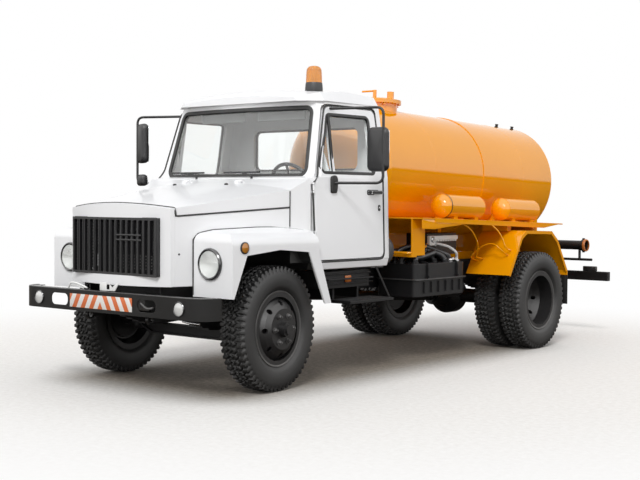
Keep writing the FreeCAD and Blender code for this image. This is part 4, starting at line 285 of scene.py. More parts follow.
def paint_solid(node, finish):
    """Shows a plain solid as it is, in its finish."""
    mesh = frame["nodes"][node].data
    mesh.materials.clear()
    mesh.materials.append(finish)


def surface_finder(node):
    """Finds where a line meets a plain solid."""
    points, faces = solid_points(node)
    tree = BVHTree.FromPolygons([Vector(p) for p in points], faces.tolist())

    def find(start, direction):
        return np.array(tree.ray_cast(Vector(start), Vector(direction))[0])
    return find


# Finishes

def add(tree, kind, inputs=None, **settings):
    """Adds a shader node, with its settings, and with each input given as a value or as another node's socket."""
    made = tree.nodes.new("ShaderNode" + kind)
    for key, value in settings.items():
        setattr(made, key, value)
    for key, value in (inputs or {}).items():
        if isinstance(value, bpy.types.NodeSocket):
            tree.links.new(value, made.inputs[key])
        else:
            made.inputs[key].default_value = value
    return made


def new_group(name, inputs, outputs):
    """A group with named inputs (kind, value) and outputs (kind), and its two ends."""
    tree = bpy.data.node_groups.new(name, "ShaderNodeTree")
    for label, (kind, value) in inputs.items():
        socket = tree.interface.new_socket(label, in_out="INPUT", socket_type="NodeSocket" + kind)
        socket.default_value = value
    for label, kind in outputs.items():
        tree.interface.new_socket(label, in_out="OUTPUT", socket_type="NodeSocket" + kind)
    return tree, tree.nodes.new("NodeGroupInput").outputs, tree.nodes.new("NodeGroupOutput").inputs


def blend(tree, factor, a, b, blend_type="MIX"):
    """One colour laid over another by a mask."""
    made = add(tree, "Mix", data_type="RGBA", blend_type=blend_type)
    for socket, value in ((made.inputs[0], factor), (made.inputs[6], a), (made.inputs[7], b)):
        if isinstance(value, bpy.types.NodeSocket):
            tree.links.new(value, socket)
        else:
            socket.default_value = value
    return made.outputs[2]


def ramp(tree, value, low, high, at_low, at_high, **settings):
    """While the value goes from low to high, the result goes from at_low to at_high; outside it stands still."""
    return add(tree, "MapRange", {0: value, 1: low, 2: high, 3: at_low, 4: at_high}, **settings).outputs[0]


def summed(tree, operation, *terms, **settings):
    """One sum of one or two values."""
    return add(tree, "Math", dict(enumerate(terms)), operation=operation, **settings).outputs[0]


def vector_sum(tree, operation, *terms):
    """One sum of one or two vectors; a length or a dot product comes out as a value."""
    made = add(tree, "VectorMath", dict(enumerate(terms)), operation=operation)
    return made.outputs["Value" if operation in ("LENGTH", "DOT_PRODUCT") else "Vector"]


def noise(tree, place, scale, detail, **inputs):
    """A cloudy pattern between about 0.3 and 0.7."""
    return add(tree, "TexNoise", {"Vector": place, "Scale": scale, "Detail": detail, **inputs}).outputs[0]


def object_place(tree):
    """The place of a point on the truck, in metres."""
    return add(tree, "TexCoord").outputs["Object"]


ROAD_BROWN = (0.25, 0.22, 0.18, 1.0)
DUST_FROM = 0.1


def make_road_dust():
    """Dust that fades out upwards, in patches: mask = (1 - height share) x noise, laid over the paint."""
    tree, given, out = new_group(
        "road dust",
        {"Colour": ("Color", (1, 1, 1, 1)), "Dust": ("Color", ROAD_BROWN),
         "Top": ("Float", 1.0), "Amount": ("Float", 0.3), "Roughness": ("Float", 0.4)},
        {"Colour": "Color", "Roughness": "Float"})
    place = object_place(tree)
    height = add(tree, "SeparateXYZ", {0: place}).outputs[2]
    low = ramp(tree, height, DUST_FROM, given["Top"], 1.0, 0.0)
    spread = ramp(tree, noise(tree, place, 3.5, 6.0, Roughness=0.6), 0.3, 0.75, 0.35, 1.0)
    mask = summed(tree, "MULTIPLY", summed(tree, "MULTIPLY", low, spread), given["Amount"])
    tree.links.new(blend(tree, mask, given["Colour"], given["Dust"]), out["Colour"])
    tree.links.new(ramp(tree, mask, 0.0, 1.0, given["Roughness"], 0.95), out["Roughness"])
    return tree


def make_grain():
    """Fine noise as a height, and a slow drift of tone: colour x (1 - drift x slow noise)."""
    tree, given, out = new_group(
        "grain",
        {"Colour": ("Color", (1, 1, 1, 1)), "Scale": ("Float", 200.0), "Drift": ("Float", 0.06),
         "Drift scale": ("Float", 2.0)},
        {"Height": "Float", "Colour": "Color"})
    place = object_place(tree)
    tone = ramp(tree, noise(tree, place, given["Drift scale"], 4.0), 0.3, 0.7, 1.0, 0.0)
    amount = summed(tree, "MULTIPLY", tone, given["Drift"])
    tree.links.new(blend(tree, amount, given["Colour"], (0.0, 0.0, 0.0, 1.0)), out["Colour"])
    tree.links.new(noise(tree, place, given["Scale"], 3.0), out["Height"])
    return tree


ROAD_DUST = make_road_dust()
GRAIN = make_grain()


def new_finish(name, **constants):
    """A material with its Principled shader, whose constant values are set on its own sockets."""
    material = bpy.data.materials.new(name)
    material.use_nodes = True
    tree = material.node_tree
    shader = tree.nodes["Principled BSDF"]
    for key, value in constants.items():
        shader.inputs[key.replace("_", " ")].default_value = value
    return material, tree, shader


def dusted(tree, shader, colour, amount, roughness, top=1.0, dust=ROAD_BROWN):
    """Lays road dust over a colour, and gives both to the shader's colour and roughness."""
    coat = add(tree, "Group", {"Colour": colour, "Dust": dust, "Top": top, "Amount": amount, "Roughness": roughness},
               node_tree=ROAD_DUST)
    tree.links.new(coat.outputs["Colour"], shader.inputs["Base Color"])
    tree.links.new(coat.outputs["Roughness"], shader.inputs["Roughness"])


def surfaced(name, colour, roughness, grain_scale, grain_depth, drift=0.06, drift_scale=2.0, dust=0.0,
             dust_top=1.2, dust_colour=ROAD_BROWN, **constants):
    """A finish with a grain that dents it, a slow drift of tone and road dust from below."""
    material, tree, shader = new_finish(name, **constants)
    grain = add(tree, "Group", {"Colour": colour + (1.0,), "Scale": grain_scale, "Drift": drift,
                                "Drift scale": drift_scale}, node_tree=GRAIN)
    dusted(tree, shader, grain.outputs["Colour"], dust, roughness, dust_top, dust_colour)
    bump = add(tree, "Bump", {"Height": grain.outputs["Height"], "Distance": grain_depth, "Strength": 1.0})
    tree.links.new(bump.outputs[0], shader.inputs["Normal"])
    return material


CAB_WHITE = surfaced("cab white", (0.88, 0.88, 0.885), 0.36, 420.0, 0.00006, 0.03, 1.4, 0.12, 1.15,
                     (0.46, 0.44, 0.40, 1.0), Coat_Weight=0.3, Coat_Roughness=0.08)
TANK_ORANGE = surfaced("tank orange", (0.90, 0.350, 0.0004), 0.5, 300.0, 0.00004, 0.07, 1.1, 0.08, 1.1,
                       (0.40, 0.24, 0.10, 1.0), Specular_IOR_Level=0.0, Coat_Weight=1.0, Coat_Roughness=0.03)
CHASSIS_BLACK = surfaced("chassis black", (0.007, 0.007, 0.008), 0.42, 260.0, 0.00012, 0.2, 3.0, 0.14, 1.1,
                         (0.07, 0.062, 0.055, 1.0), Specular_IOR_Level=0.3)
BUMPER_BLACK = surfaced("bumper black", (0.013, 0.013, 0.013), 0.28, 260.0, 0.00006, 0.2, 3.0, 0.06, 1.0,
                        (0.10, 0.09, 0.08, 1.0), Specular_IOR_Level=0.3, Coat_Weight=0.25, Coat_Roughness=0.12)
WHEEL_BLACK = surfaced("wheel black", (0.010, 0.010, 0.011), 0.34, 260.0, 0.0001, 0.2, 5.0, 0.14, 1.3,
                       (0.09, 0.08, 0.07, 1.0), Specular_IOR_Level=0.5)
TYRE_RUBBER = surfaced("tyre rubber", (0.012, 0.012, 0.0125), 0.5, 500.0, 0.0002, 0.3, 6.0, 0.22, 1.0,
                       (0.08, 0.075, 0.068, 1.0), Specular_IOR_Level=0.5)
SOFT_RUBBER = surfaced("soft black rubber", (0.008, 0.008, 0.008), 0.55, 600.0, 0.0001, 0.2, 5.0, 0.03)
BLACK_PLASTIC = surfaced("moulded black plastic", (0.010, 0.010, 0.011), 0.42, 900.0, 0.00012, 0.15, 5.0, 0.05)
ENGINE_GREY = surfaced("cast grey", (0.10, 0.10, 0.105), 0.6, 120.0, 0.0006, 0.3, 4.0, 0.4, 1.3)
EXHAUST_STEEL = surfaced("dull steel", (0.22, 0.20, 0.18), 0.5, 160.0, 0.0003, 0.4, 5.0, 0.4, 1.2,
                         (0.20, 0.14, 0.09, 1.0), Metallic=0.7)
BRIGHT_STEEL = surfaced("bright steel", (0.62, 0.62, 0.63), 0.22, 300.0, 0.00004, 0.1, 8.0, 0.0, Metallic=1.0)
SEAT_VINYL = surfaced("grained vinyl", (0.035, 0.035, 0.038), 0.5, 700.0, 0.0004, 0.2, 8.0)
CAB_LINING = surfaced("grey lining", (0.50, 0.51, 0.51), 0.7, 500.0, 0.0002, 0.08, 4.0)


GLASS_DUST, GLASS_DUST_TOP = (0.62, 0.60, 0.55, 1.0), 3.0


def make_clear_glass(name, colour, roughness=0.02, film=0.05):
    """Clear glass with a thin film of dust that lets light through to what is behind it."""
    material, tree, shader = new_finish(name, IOR=1.45, Transmission_Weight=1.0, Specular_IOR_Level=0.16)
    dusted(tree, shader, colour, film, roughness, GLASS_DUST_TOP, GLASS_DUST)
    through = add(tree, "BsdfTransparent", {0: colour})
    shadow = add(tree, "LightPath").outputs["Is Shadow Ray"]
    mixed = add(tree, "MixShader", {0: shadow, 1: shader.outputs[0], 2: through.outputs[0]})
    tree.links.new(mixed.outputs[0], tree.nodes["Material Output"].inputs[0])
    return material


WINDOW_GLASS = make_clear_glass("window glass", (0.955, 0.972, 0.966, 1.0))


# Painted shade under the cab's front: the height below which, and the depth ahead of which, the white is painted black.
PAINTED_SHADE_TOP, PAINTED_SHADE_REAR_Y, PAINTED_SHADE_BLACK = 1.105, 0.505, (0.010, 0.010, 0.010, 1.0)


def make_white_with_painted_shade():
    """The cab's white with painted shade: black low down and ahead of the doors, where the fender and the cab's front
    shade the cowl, frame and floor.
    """
    material = CAB_WHITE.copy()
    material.name = "cab white with painted_shade"
    tree = material.node_tree
    shader = tree.nodes["Principled BSDF"]
    place = add(tree, "SeparateXYZ", {0: object_place(tree)})
    low = summed(tree, "LESS_THAN", place.outputs[2], PAINTED_SHADE_TOP)
    ahead = summed(tree, "LESS_THAN", place.outputs[1], PAINTED_SHADE_REAR_Y + float(AXLE_SHIFT[1]))
    paint = shader.inputs["Base Color"].links[0].from_socket
    tree.links.new(blend(tree, summed(tree, "MULTIPLY", low, ahead), paint, PAINTED_SHADE_BLACK), shader.inputs["Base Color"])
    return material


WHITE_WITH_PAINTED_SHADE = make_white_with_painted_shade()


# Dressed solids: each one's finish and how far its edges are rounded

ROUNDED = {
    "nose_panel": (CAB_WHITE, 0.010), "bonnet": (CAB_WHITE, 0.006), "flanks": (CAB_WHITE, 0.004),
    "fender_left": (CAB_WHITE, 0.005), "fender_right": (CAB_WHITE, 0.005),
    # The cab's floor, frame and cowl take the white with painted shade low down ahead of the doors.
    "cab_back": (CAB_WHITE, 0.008), "cab_floor": (WHITE_WITH_PAINTED_SHADE, 0.010), "cab_frame": (WHITE_WITH_PAINTED_SHADE, 0.006),
    "cowl": (WHITE_WITH_PAINTED_SHADE, 0.006), "cab_roof": (CAB_WHITE, 0.016),
    "door_left": (CAB_WHITE, 0.006), "door_right": (CAB_WHITE, 0.006),
    "side_shelves": (TANK_ORANGE, 0.003), "mudguards": (TANK_ORANGE, 0.003), "tank_bed": (TANK_ORANGE, 0.005),
    "frame_rails": (CHASSIS_BLACK, 0.003), "cross_members": (CHASSIS_BLACK, 0.003),
    "front_bumper": (BUMPER_BLACK, 0.008), "steps": (CHASSIS_BLACK, 0.005), "fuel_tank": (CHASSIS_BLACK, 0.006),
    "rear_beam": (CHASSIS_BLACK, 0.004), "control_panel": (CHASSIS_BLACK, 0.004),
    "front_axle_beam": (CHASSIS_BLACK, 0.004), "springs": (CHASSIS_BLACK, 0.002),
    "engine": (ENGINE_GREY, 0.010), "radiator": (ENGINE_GREY, 0.004), "dashboard": (BLACK_PLASTIC, 0.012),
    "grille": (BLACK_PLASTIC, 0.002), "mud_flaps": (SOFT_RUBBER, 0.002),
}
AS_BUILT = {
    "rear_axle": CHASSIS_BLACK, "knuckle_left": CHASSIS_BLACK, "knuckle_right": CHASSIS_BLACK,
    "tie_rod": CHASSIS_BLACK, "drive_shaft": CHASSIS_BLACK, "exhaust": EXHAUST_STEEL, "pump": ENGINE_GREY,
    "wheel_front_left": WHEEL_BLACK, "wheel_front_right": WHEEL_BLACK, "wheel_rear_left": WHEEL_BLACK,
    "wheel_rear_right": WHEEL_BLACK, "tank": TANK_ORANGE, "hatch_lid": TANK_ORANGE, "vessels": TANK_ORANGE,
    "suction_pipe": CHASSIS_BLACK,
    "steering_wheel": BLACK_PLASTIC, "wipers": BLACK_PLASTIC,
    "cab_glass": WINDOW_GLASS, "door_glass_left": WINDOW_GLASS, "door_glass_right": WINDOW_GLASS,
}
for node, (finish, radius) in ROUNDED.items():
    rounded_panel(node, finish, radius)
for node, finish in AS_BUILT.items():
    paint_solid(node, finish)


# Lines that follow the solids

def rounded_outline(points, corner, steps=6):
    """A closed outline whose corners are cut by parabolas that touch both sides."""
    p = np.asarray(points, float)
    back, ahead = np.roll(p, 1, 0) - p, np.roll(p, -1, 0) - p
    start = p + back / np.linalg.norm(back, axis=1, keepdims=True) * corner
    end = p + ahead / np.linalg.norm(ahead, axis=1, keepdims=True) * corner
    t = np.linspace(0.0, 1.0, steps)[None, :, None]
    curve = (1 - t) ** 2 * start[:, None] + 2 * t * (1 - t) * p[:, None] + t ** 2 * end[:, None]
    return curve.reshape(-1, p.shape[1])


def even_steps(line, step, closed=True):
    """The same line walked in equal steps."""
    line = np.concatenate([line, line[:1]]) if closed else np.asarray(line, float)
    along = np.concatenate([[0.0], np.cumsum(np.linalg.norm(np.diff(line, axis=0), axis=1))])
    count = max(int(round(along[-1] / step)), 2)
    places = np.linspace(0.0, along[-1], count, endpoint=not closed)
    return np.stack([np.interp(places, along, line[:, k]) for k in range(line.shape[1])], -1)


def grown(outline, amount):
    """A closed flat outline moved out along its normals, away from its middle."""
    ahead = np.roll(outline, -1, 0) - np.roll(outline, 1, 0)
    normal = np.stack([ahead[:, 1], -ahead[:, 0]], -1)
    normal /= np.linalg.norm(normal, axis=1, keepdims=True)
    outwards = np.sign((normal * (outline - outline.mean(0))).sum(1).mean())
    return outline + normal * outwards * amount


PANE_STEP, RUBBER_CORNER, RUBBER_SINK = 0.014, 0.007, 0.002


def pane_outline(node, plane, low, high):
    """The hull of a pane's corners in a plane, in even steps."""
    points, faces = solid_points(node)
    near = points[((points > low) & (points < high)).all(1)][:, plane]
    return even_steps(near[convex_hull_2d(near.tolist())], PANE_STEP)


def laid_on(find, flat, plane, start, inset=0.004):
    """Flat points set on a solid's outer face: each is cast from a start, a little nearer the middle."""
    cast_axis = 3 - sum(plane)
    drawn = grown(flat, -inset)
    direction = np.zeros(3)
    direction[cast_axis] = -np.sign(start)
    path = np.empty((len(flat), 3))
    path[:, plane] = flat
    for index, place in enumerate(drawn):
        origin = np.empty(3)
        origin[plane] = place
        origin[cast_axis] = start
        hit = find(origin, direction)
        path[index, cast_axis] = hit[cast_axis] if hit.ndim else np.nan
    found = np.isfinite(path[:, cast_axis])
    order = np.arange(len(path))
    path[:, cast_axis] = np.interp(order, order[found], path[found, cast_axis], period=len(path))
    return path


def rubber_ring(path, up, width, height):
    """A rubber bead round a pane: a rounded bar whose foot lies just under the glass."""
    section = rounded_rectangle(width, height, RUBBER_CORNER, 4) + (0.0, height / 2 - RUBBER_SINK)
    return swept(section, path, up, closed=True)


NOSE_HALF, NOSE_Y, NOSE_BOW = 0.552, -0.845, 0.077
FLANK_FRONT, FLANK_REAR = np.array([NOSE_HALF, -0.768]), np.array([0.842, 0.222])


def flank_x(y):
    """Half the bonnet's width: it grows evenly from the nose to the cowl."""
    share = (np.asarray(y) - FLANK_FRONT[1]) / (FLANK_REAR[1] - FLANK_FRONT[1])
    return FLANK_FRONT[0] + (FLANK_REAR[0] - FLANK_FRONT[0]) * share


def nose_bow(x):
    """How far the nose falls back beside its middle: it grows with the square of x."""
    return NOSE_BOW * (x / NOSE_HALF) ** 2


# More finishes

def lit_plastic(name, colour, roughness=0.12, through=0.5):
    """Coloured lens plastic that lets part of the light through, with fine scratches and a little dust."""
    return surfaced(name, colour, roughness, 900.0, 0.00003, 0.10, 30.0, 0.06, 2.6, (0.50, 0.42, 0.32, 1.0), IOR=1.49,
                    Transmission_Weight=through)


AMBER_LENS = lit_plastic("amber lens", (0.95, 0.36, 0.03))
RED_LENS = lit_plastic("red lens", (0.62, 0.012, 0.01))
CLEAR_LENS = make_clear_glass("lamp lens", (0.97, 0.98, 0.97, 1.0), 0.05, 0.08)
REFLECTOR = surfaced("lamp reflector", (0.92, 0.93, 0.92), 0.24, 200.0, 0.00003, 0.05, 20.0, 0.02, Metallic=0.4)
MIRROR_GLASS = surfaced("mirror glass", (0.85, 0.87, 0.88), 0.03, 300.0, 0.000005, 0.03, 6.0, 0.03, 2.4, Metallic=1.0)
ORANGE_REFLECTOR = lit_plastic("orange reflector", (0.95, 0.24, 0.01), 0.2, 0.2)
SATIN_BLACK = surfaced("satin black steel", (0.022, 0.022, 0.024), 0.22, 300.0, 0.00005, 0.2, 4.0, 0.05, 1.0,
                       (0.12, 0.11, 0.10, 1.0), Coat_Weight=0.6, Coat_Roughness=0.1)
PALE_PLASTIC = surfaced("pale plastic", (0.88, 0.88, 0.86), 0.4, 500.0, 0.0001, 0.06, 6.0, 0.05)
# Black for the wheel houses: partly their own dark colour, partly painted shade inside the arches.
LINER_BLACK_AND_SHADE = surfaced("wheel arch liner and painted shade", (0.010, 0.010, 0.010), 0.85, 200.0, 0.0004, 0.2, 4.0, 0.2, 1.0,
                       (0.05, 0.046, 0.04, 1.0))


STRIPES_MIDDLE_X, STRIPES_LEAN, STRIPES_EACH_METRE, STRIPES_START = -0.059, 0.53, 10.2, 0.78
STRIPE_RED, STRIPE_WHITE = (0.70, 0.15, 0.03, 1.0), (0.86, 0.84, 0.80, 1.0)


def make_stripes():
    """Slanting red-orange and white bars that meet in the middle of the plate: share = fract of the distance
    from the middle plus a part of the height, over the pitch."""
    material, tree, shader = new_finish("striped plate", Roughness=0.35)
    place = add(tree, "SeparateXYZ", {0: object_place(tree)})
    away = summed(tree, "ABSOLUTE", summed(tree, "ADD", place.outputs[0], -STRIPES_MIDDLE_X))
    line = summed(tree, "ADD", away, summed(tree, "MULTIPLY", place.outputs[2], STRIPES_LEAN))
    line = summed(tree, "ADD", summed(tree, "MULTIPLY", line, STRIPES_EACH_METRE), STRIPES_START)
    white = summed(tree, "GREATER_THAN", summed(tree, "FRACT", line), 0.5)
    bars = blend(tree, white, STRIPE_RED, STRIPE_WHITE)
    grain = add(tree, "Group", {"Colour": bars, "Scale": 300.0, "Drift": 0.15, "Drift scale": 14.0}, node_tree=GRAIN)
    dusted(tree, shader, grain.outputs["Colour"], 0.3, 0.35)
    return material


STRIPES = make_stripes()
# Painted highlight: a lighter grey for the louvres' edges where the sun reaches into the grille.
LOUVRE_HIGHLIGHT_GREY = surfaced("painted louvre highlight", (0.30, 0.30, 0.29), 0.4, 300.0, 0.0001, 0.5, 30.0, 0.1)
FOG_WHITE = surfaced("frosted lamp", (0.66, 0.66, 0.64), 0.3, 260.0, 0.0001, 0.12, 40.0, 0.1, Coat_Weight=0.6)
# A lighter dark grey for rim rings, nuts, the hook and the fuel tank's seam, and as a painted sheen line on the
# bumper's top lip.
RIM_GREY = surfaced("rim grey and painted sheen", (0.06, 0.06, 0.062), 0.38, 260.0, 0.0001, 0.4, 9.0, 0.2, 1.2)
HOSE_BLACK = surfaced("black hose", (0.010, 0.011, 0.013), 0.32, 240.0, 0.0003, 0.3, 7.0, 0.22, 1.2,
                      (0.08, 0.08, 0.08, 1.0))
COUPLING_ORANGE = surfaced("orange coupling", (0.55, 0.17, 0.03), 0.4, 300.0, 0.0001, 0.3, 9.0, 0.2)


# Tyres and wheels

STEER = math.radians(5.0)
KINGPIN_X, SCRUB, AXLE_Z = 0.650, 0.165, 0.482
TURNED = np.array([math.cos(STEER), math.sin(STEER), 0.0])
REAR_X, TWIN_HALF = 0.845, 0.140
FRONT_WHEELS = {"left": (np.array([KINGPIN_X, 0.0, AXLE_Z]) + SCRUB * TURNED, TURNED),
                "right": (np.array([-KINGPIN_X, 0.0, AXLE_Z]) - SCRUB * TURNED, -TURNED)}
TYRE_LINE = [(0.258, 0.0835), (0.287, 0.087), (0.305, 0.102), (0.330, 0.1135), (0.372, 0.1175), (0.405, 0.1150),
             (0.435, 0.1085), (0.458, 0.1010)]
PITCHES, STEPS_A_PITCH = 58, 7
TREAD_HALF, CROWN_RADIUS, CROWN_FALL = 0.096, 0.4815, 0.0050
TREAD_DEPTH, LUG_DEPTH = 0.019, 0.021
GROOVE_LINES, ZIG_REACH = (-0.042, 0.0, 0.042), 0.0105
SIDE_RINGS, RING_WIDTH = ((0.412, 0.0016), (0.318, 0.0014)), 0.004


def step_up(value, low, high):
    """0 below, 1 above, and a smooth 3t^2 - 2t^3 between."""
    t = np.clip((value - low) / (high - low), 0.0, 1.0)
    return t * t * (3 - 2 * t)


def tyre(centre, axis):
    """A grid round the wheel: the side curves through its section, with two fine rings, and the tread's radius
    is the crown's less a depth in zig-zag grooves, cross slots and lugs at the shoulder. A groove is where the
    place across the tread plus the zig of the phase is near the groove's line."""
    side = smooth_line(np.array(TYRE_LINE), 3)
    across_tread = np.linspace(TREAD_HALF, -TREAD_HALF, 33)
    crown = CROWN_RADIUS - CROWN_FALL * (np.abs(across_tread) / TREAD_HALF) ** 3
    line = np.concatenate([side, np.stack([crown, across_tread], -1), side[::-1] * (1.0, -1.0)])
    t = np.linspace(0.0, 2 * math.pi, PITCHES * STEPS_A_PITCH, endpoint=False)
    phase = t[None, :] * PITCHES / (2 * math.pi)
    radius, place = line[:, :1], line[:, 1:]
    zig = ZIG_REACH * (2 * np.abs(2 * (phase % 1.0) - 1) - 1)
    on_tread = step_up(radius, 0.468, 0.474)
    grooves = np.maximum.reduce([1 - step_up(np.abs(place + zig - groove), 0.0045, 0.0085)
                                 for groove in GROOVE_LINES])
    shifted = (phase + 0.5 * (place > 0)) % 1.0
    cross = (1 - step_up(np.abs(shifted - 0.5), 0.07, 0.17)) * step_up(np.abs(place), 0.006, 0.010)
    cross *= 1 - step_up(np.abs(place), 0.034, 0.038)
    lugs = (1 - step_up(np.abs((phase + 0.25) % 1.0 - 0.5), 0.15, 0.27)) * step_up(np.abs(place), 0.056, 0.064)
    depth = TREAD_DEPTH * on_tread * np.maximum(grooves, 0.8 * cross)
    depth = np.maximum(depth, LUG_DEPTH * lugs * step_up(radius, 0.432, 0.464))
    rings = sum(rise * np.exp(-((radius - ring) / RING_WIDTH) ** 2) for ring, rise in SIDE_RINGS)
    radius = radius - depth
    out = place + np.sign(place) * rings + 0 * phase
    axis, u, v = across(axis)
    ring = np.cos(t)[:, None] * u + np.sin(t)[:, None] * v
    points = np.asarray(centre) + out[..., None] * axis + radius[..., None] * ring[None]
    return grid(points, round_rows=True, round_cols=True)


HUB_NUTS, NUT_CIRCLE, NUT_SIZE = 6, 0.111, 0.0165
NUT_PROFILES = (
    ([(0.0, 0.0), (NUT_SIZE * 1.35, 0.0), (NUT_SIZE * 1.35, 0.004), (NUT_SIZE * 1.05, 0.0045)], 18),
    ([(NUT_SIZE, 0.0), (NUT_SIZE, 0.018), (NUT_SIZE * 0.84, 0.0215), (0.0, 0.0215)], 6),
    ([(NUT_SIZE * 0.5, 0.02), (NUT_SIZE * 0.5, 0.031), (0.0, 0.033)], 12),
)


def wheel_nuts(centre, axis, face):
    """Washers, six-sided nuts and studs round the hub on the disc's outer face: each profile is turned about a
    line along the axle, at equal angles on the nuts' circle."""
    axis, u, v = across(axis)
    parts = []
    for angle in np.arange(HUB_NUTS) * 2 * math.pi / HUB_NUTS:
        foot = np.asarray(centre) + axis * face + (math.cos(angle) * u + math.sin(angle) * v) * NUT_CIRCLE
        parts += [turned(profile, foot, axis, sides) for profile, sides in NUT_PROFILES]
    return parts


FRONT_DISC_FACE, REAR_DISC_FACE = 0.140, 0.0125
RIM_RING = [(0.276, 0.090), (0.290, 0.090), (0.2925, 0.0935), (0.289, 0.097), (0.280, 0.0965), (0.276, 0.094)]

for side, (centre, axis) in FRONT_WHEELS.items():
    wheel = "wheel_front_" + side
    keep("tyre_front_" + side + "_rubber", tyre(centre, axis), TYRE_RUBBER, wheel, "tyre_front_" + side)
    keep("hub_nuts_front_" + side, wheel_nuts(centre, axis, FRONT_DISC_FACE), RIM_GREY, wheel)
    keep("rim_ring_front_" + side, turned(RIM_RING, centre, axis, 96), RIM_GREY, wheel)
for side, sign in SIDES.items():
    wheel = "wheel_rear_" + side
    out = sign * X
    rear = np.array([0.0, WHEELBASE, AXLE_Z])
    pair = [tyre(rear + out * (REAR_X + shift), out) for shift in (-TWIN_HALF, TWIN_HALF)]
    keep("tyres_rear_" + side + "_rubber", pair, TYRE_RUBBER, wheel, "tyres_rear_" + side)
    keep("rim_ring_rear_" + side, turned(RIM_RING, rear + out * (REAR_X + TWIN_HALF), out, 96), RIM_GREY, wheel)
    keep("hub_nuts_rear_" + side, wheel_nuts(rear + out * REAR_X, out, REAR_DISC_FACE), RIM_GREY, wheel)


# Window rubbers

find_glass = surface_finder("cab_glass")
FRONT_UP = np.array([0.0, -0.9615, 0.2747])
windscreen = pane_outline("cab_glass", [0, 2], (-2, -1, 0), (2, 1.0, 3))
windscreen = laid_on(find_glass, windscreen, [0, 2], -2.0)
screen_up = np.broadcast_to(FRONT_UP, windscreen.shape) + windscreen[:, :1] * 0.24 * X
keep("windscreen_rubber", rubber_ring(windscreen, screen_up, 0.036, 0.022), SOFT_RUBBER, "chassis")
back_window = pane_outline("cab_glass", [0, 2], (-2, 1.0, 0), (2, 2.0, 3))
back_window = laid_on(find_glass, back_window, [0, 2], 3.0)
keep("back_window_rubber", rubber_ring(back_window, (0.0, 1.0, 0.05), 0.034, 0.021), SOFT_RUBBER, "chassis")

SIDE_UP = np.array([0.982, 0.0, 0.17])
DOOR_OUTLINE = rounded_outline([(0.430, 0.978), (1.322, 0.978), (1.322, 2.226), (0.673, 2.226), (0.512, 1.668),
                                (0.430, 1.588)], 0.052)
find_pane = surface_finder("door_glass_left")
find_door = surface_finder("door_left")
door_window = pane_outline("door_glass_left", [1, 2], (0, 0, 0), (2, 3, 3))
door_window = laid_on(find_pane, door_window, [1, 2], 2.0)
POST_Y, POST_PROUD = 0.700, 0.006
low_x = door_window[door_window[:, 2].argmin(), 0]
high_x = door_window[door_window[:, 2].argmax(), 0]
post = swept(rounded_rectangle(0.026, 0.020, 0.006, 4),
             [(low_x + POST_PROUD, POST_Y, 1.682), (high_x + POST_PROUD, POST_Y, 2.146)], SIDE_UP)
for side in SIDES:
    keep("door_window_rubber_" + side, on_side(side, [rubber_ring(door_window, SIDE_UP, 0.030, 0.020), post]),
         SOFT_RUBBER, "door_" + side)

SEAL_RADIUS, SEAL_OUT, SEAL_DEEP = 0.0068, 0.0055, 0.006
seal_path = laid_on(find_door, even_steps(DOOR_OUTLINE, 0.02), [1, 2], 2.0, 0.012)
seal_path[:, [1, 2]] = grown(seal_path[:, [1, 2]], SEAL_OUT)
seal_path[:, 0] -= SEAL_DEEP
keep("door_seals", both([swept(circle(SEAL_RADIUS, 8), seal_path, SIDE_UP, closed=True)]), SOFT_RUBBER, "chassis")


# Seams of the bonnet and fenders

find_bonnet = surface_finder("bonnet")
find_fender = surface_finder("fender_left")


def bonnet_seam():
    """A dark strip under the bonnet's side edge, up its front corner and over the nose, as one line."""
    y = np.linspace(0.218, -0.725, 24)
    share = (y - FLANK_FRONT[1]) / (FLANK_REAR[1] - FLANK_FRONT[1])
    side = np.stack([flank_x(y) + 0.0005, y, 1.340 + 0.068 * share - 0.004], -1)
    x = np.linspace(0.553, -0.553, 45)
    front = NOSE_Y + nose_bow(x) + 0.034 + 0.0045
    over = np.array([[a, b, find_bonnet((np.clip(a, -0.54, 0.54), b + 0.012, 3.0), -Z)[2] - 0.003]
                     for a, b in zip(x, front)])
    corner = np.array([[0.5645, -0.731, 1.352], [0.5635, -0.732, 1.375]])
    line = np.concatenate([side, corner, over, corner[::-1] * (-1, 1, 1), side[::-1] * (-1, 1, 1)])
    return swept(rounded_rectangle(0.009, 0.013, 0.003, 3), even_steps(line, 0.02, closed=False), (0.0, 0.3, 0.95))


def fender_seam():
    """A dark strip where the fender's top and front meet the flank."""
    y = np.linspace(0.340, -0.550, 30)
    top = np.array([[flank_x(b) + 0.004, b, find_fender((flank_x(b) + 0.02, b, 2.0), -Z)[2]] for b in y])
    front = np.stack([np.full(10, flank_x(-0.590) + 0.004), np.full(10, -0.5915), np.linspace(1.17, 0.76, 10)], -1)
    return swept(circle(0.0055, 8), even_steps(np.concatenate([top, front]), 0.02, closed=False), (1.0, 0.0, 0.1))


keep("bonnet_seam", bonnet_seam(), SOFT_RUBBER, "chassis")
keep("fender_seams", both([fender_seam()]), SOFT_RUBBER, "chassis")
cowl_seam = swept(circle(0.0045, 8), [(0.8435, 0.2225, 1.256), (0.8435, 0.2225, 1.530)], X)
keep("cowl_seams", both([cowl_seam]), SOFT_RUBBER, "chassis")


LINER_LINE = [(-0.581, 0.752), (-0.575, 0.800), (-0.448, 1.062), (-0.400, 1.088), (-0.071, 1.100), (0.245, 1.086),
              (0.282, 1.064), (0.318, 0.990)]
LINER_X = np.array([0.600, 0.700, 0.800, 0.900, 0.990])
LINER_WALL = 0.004


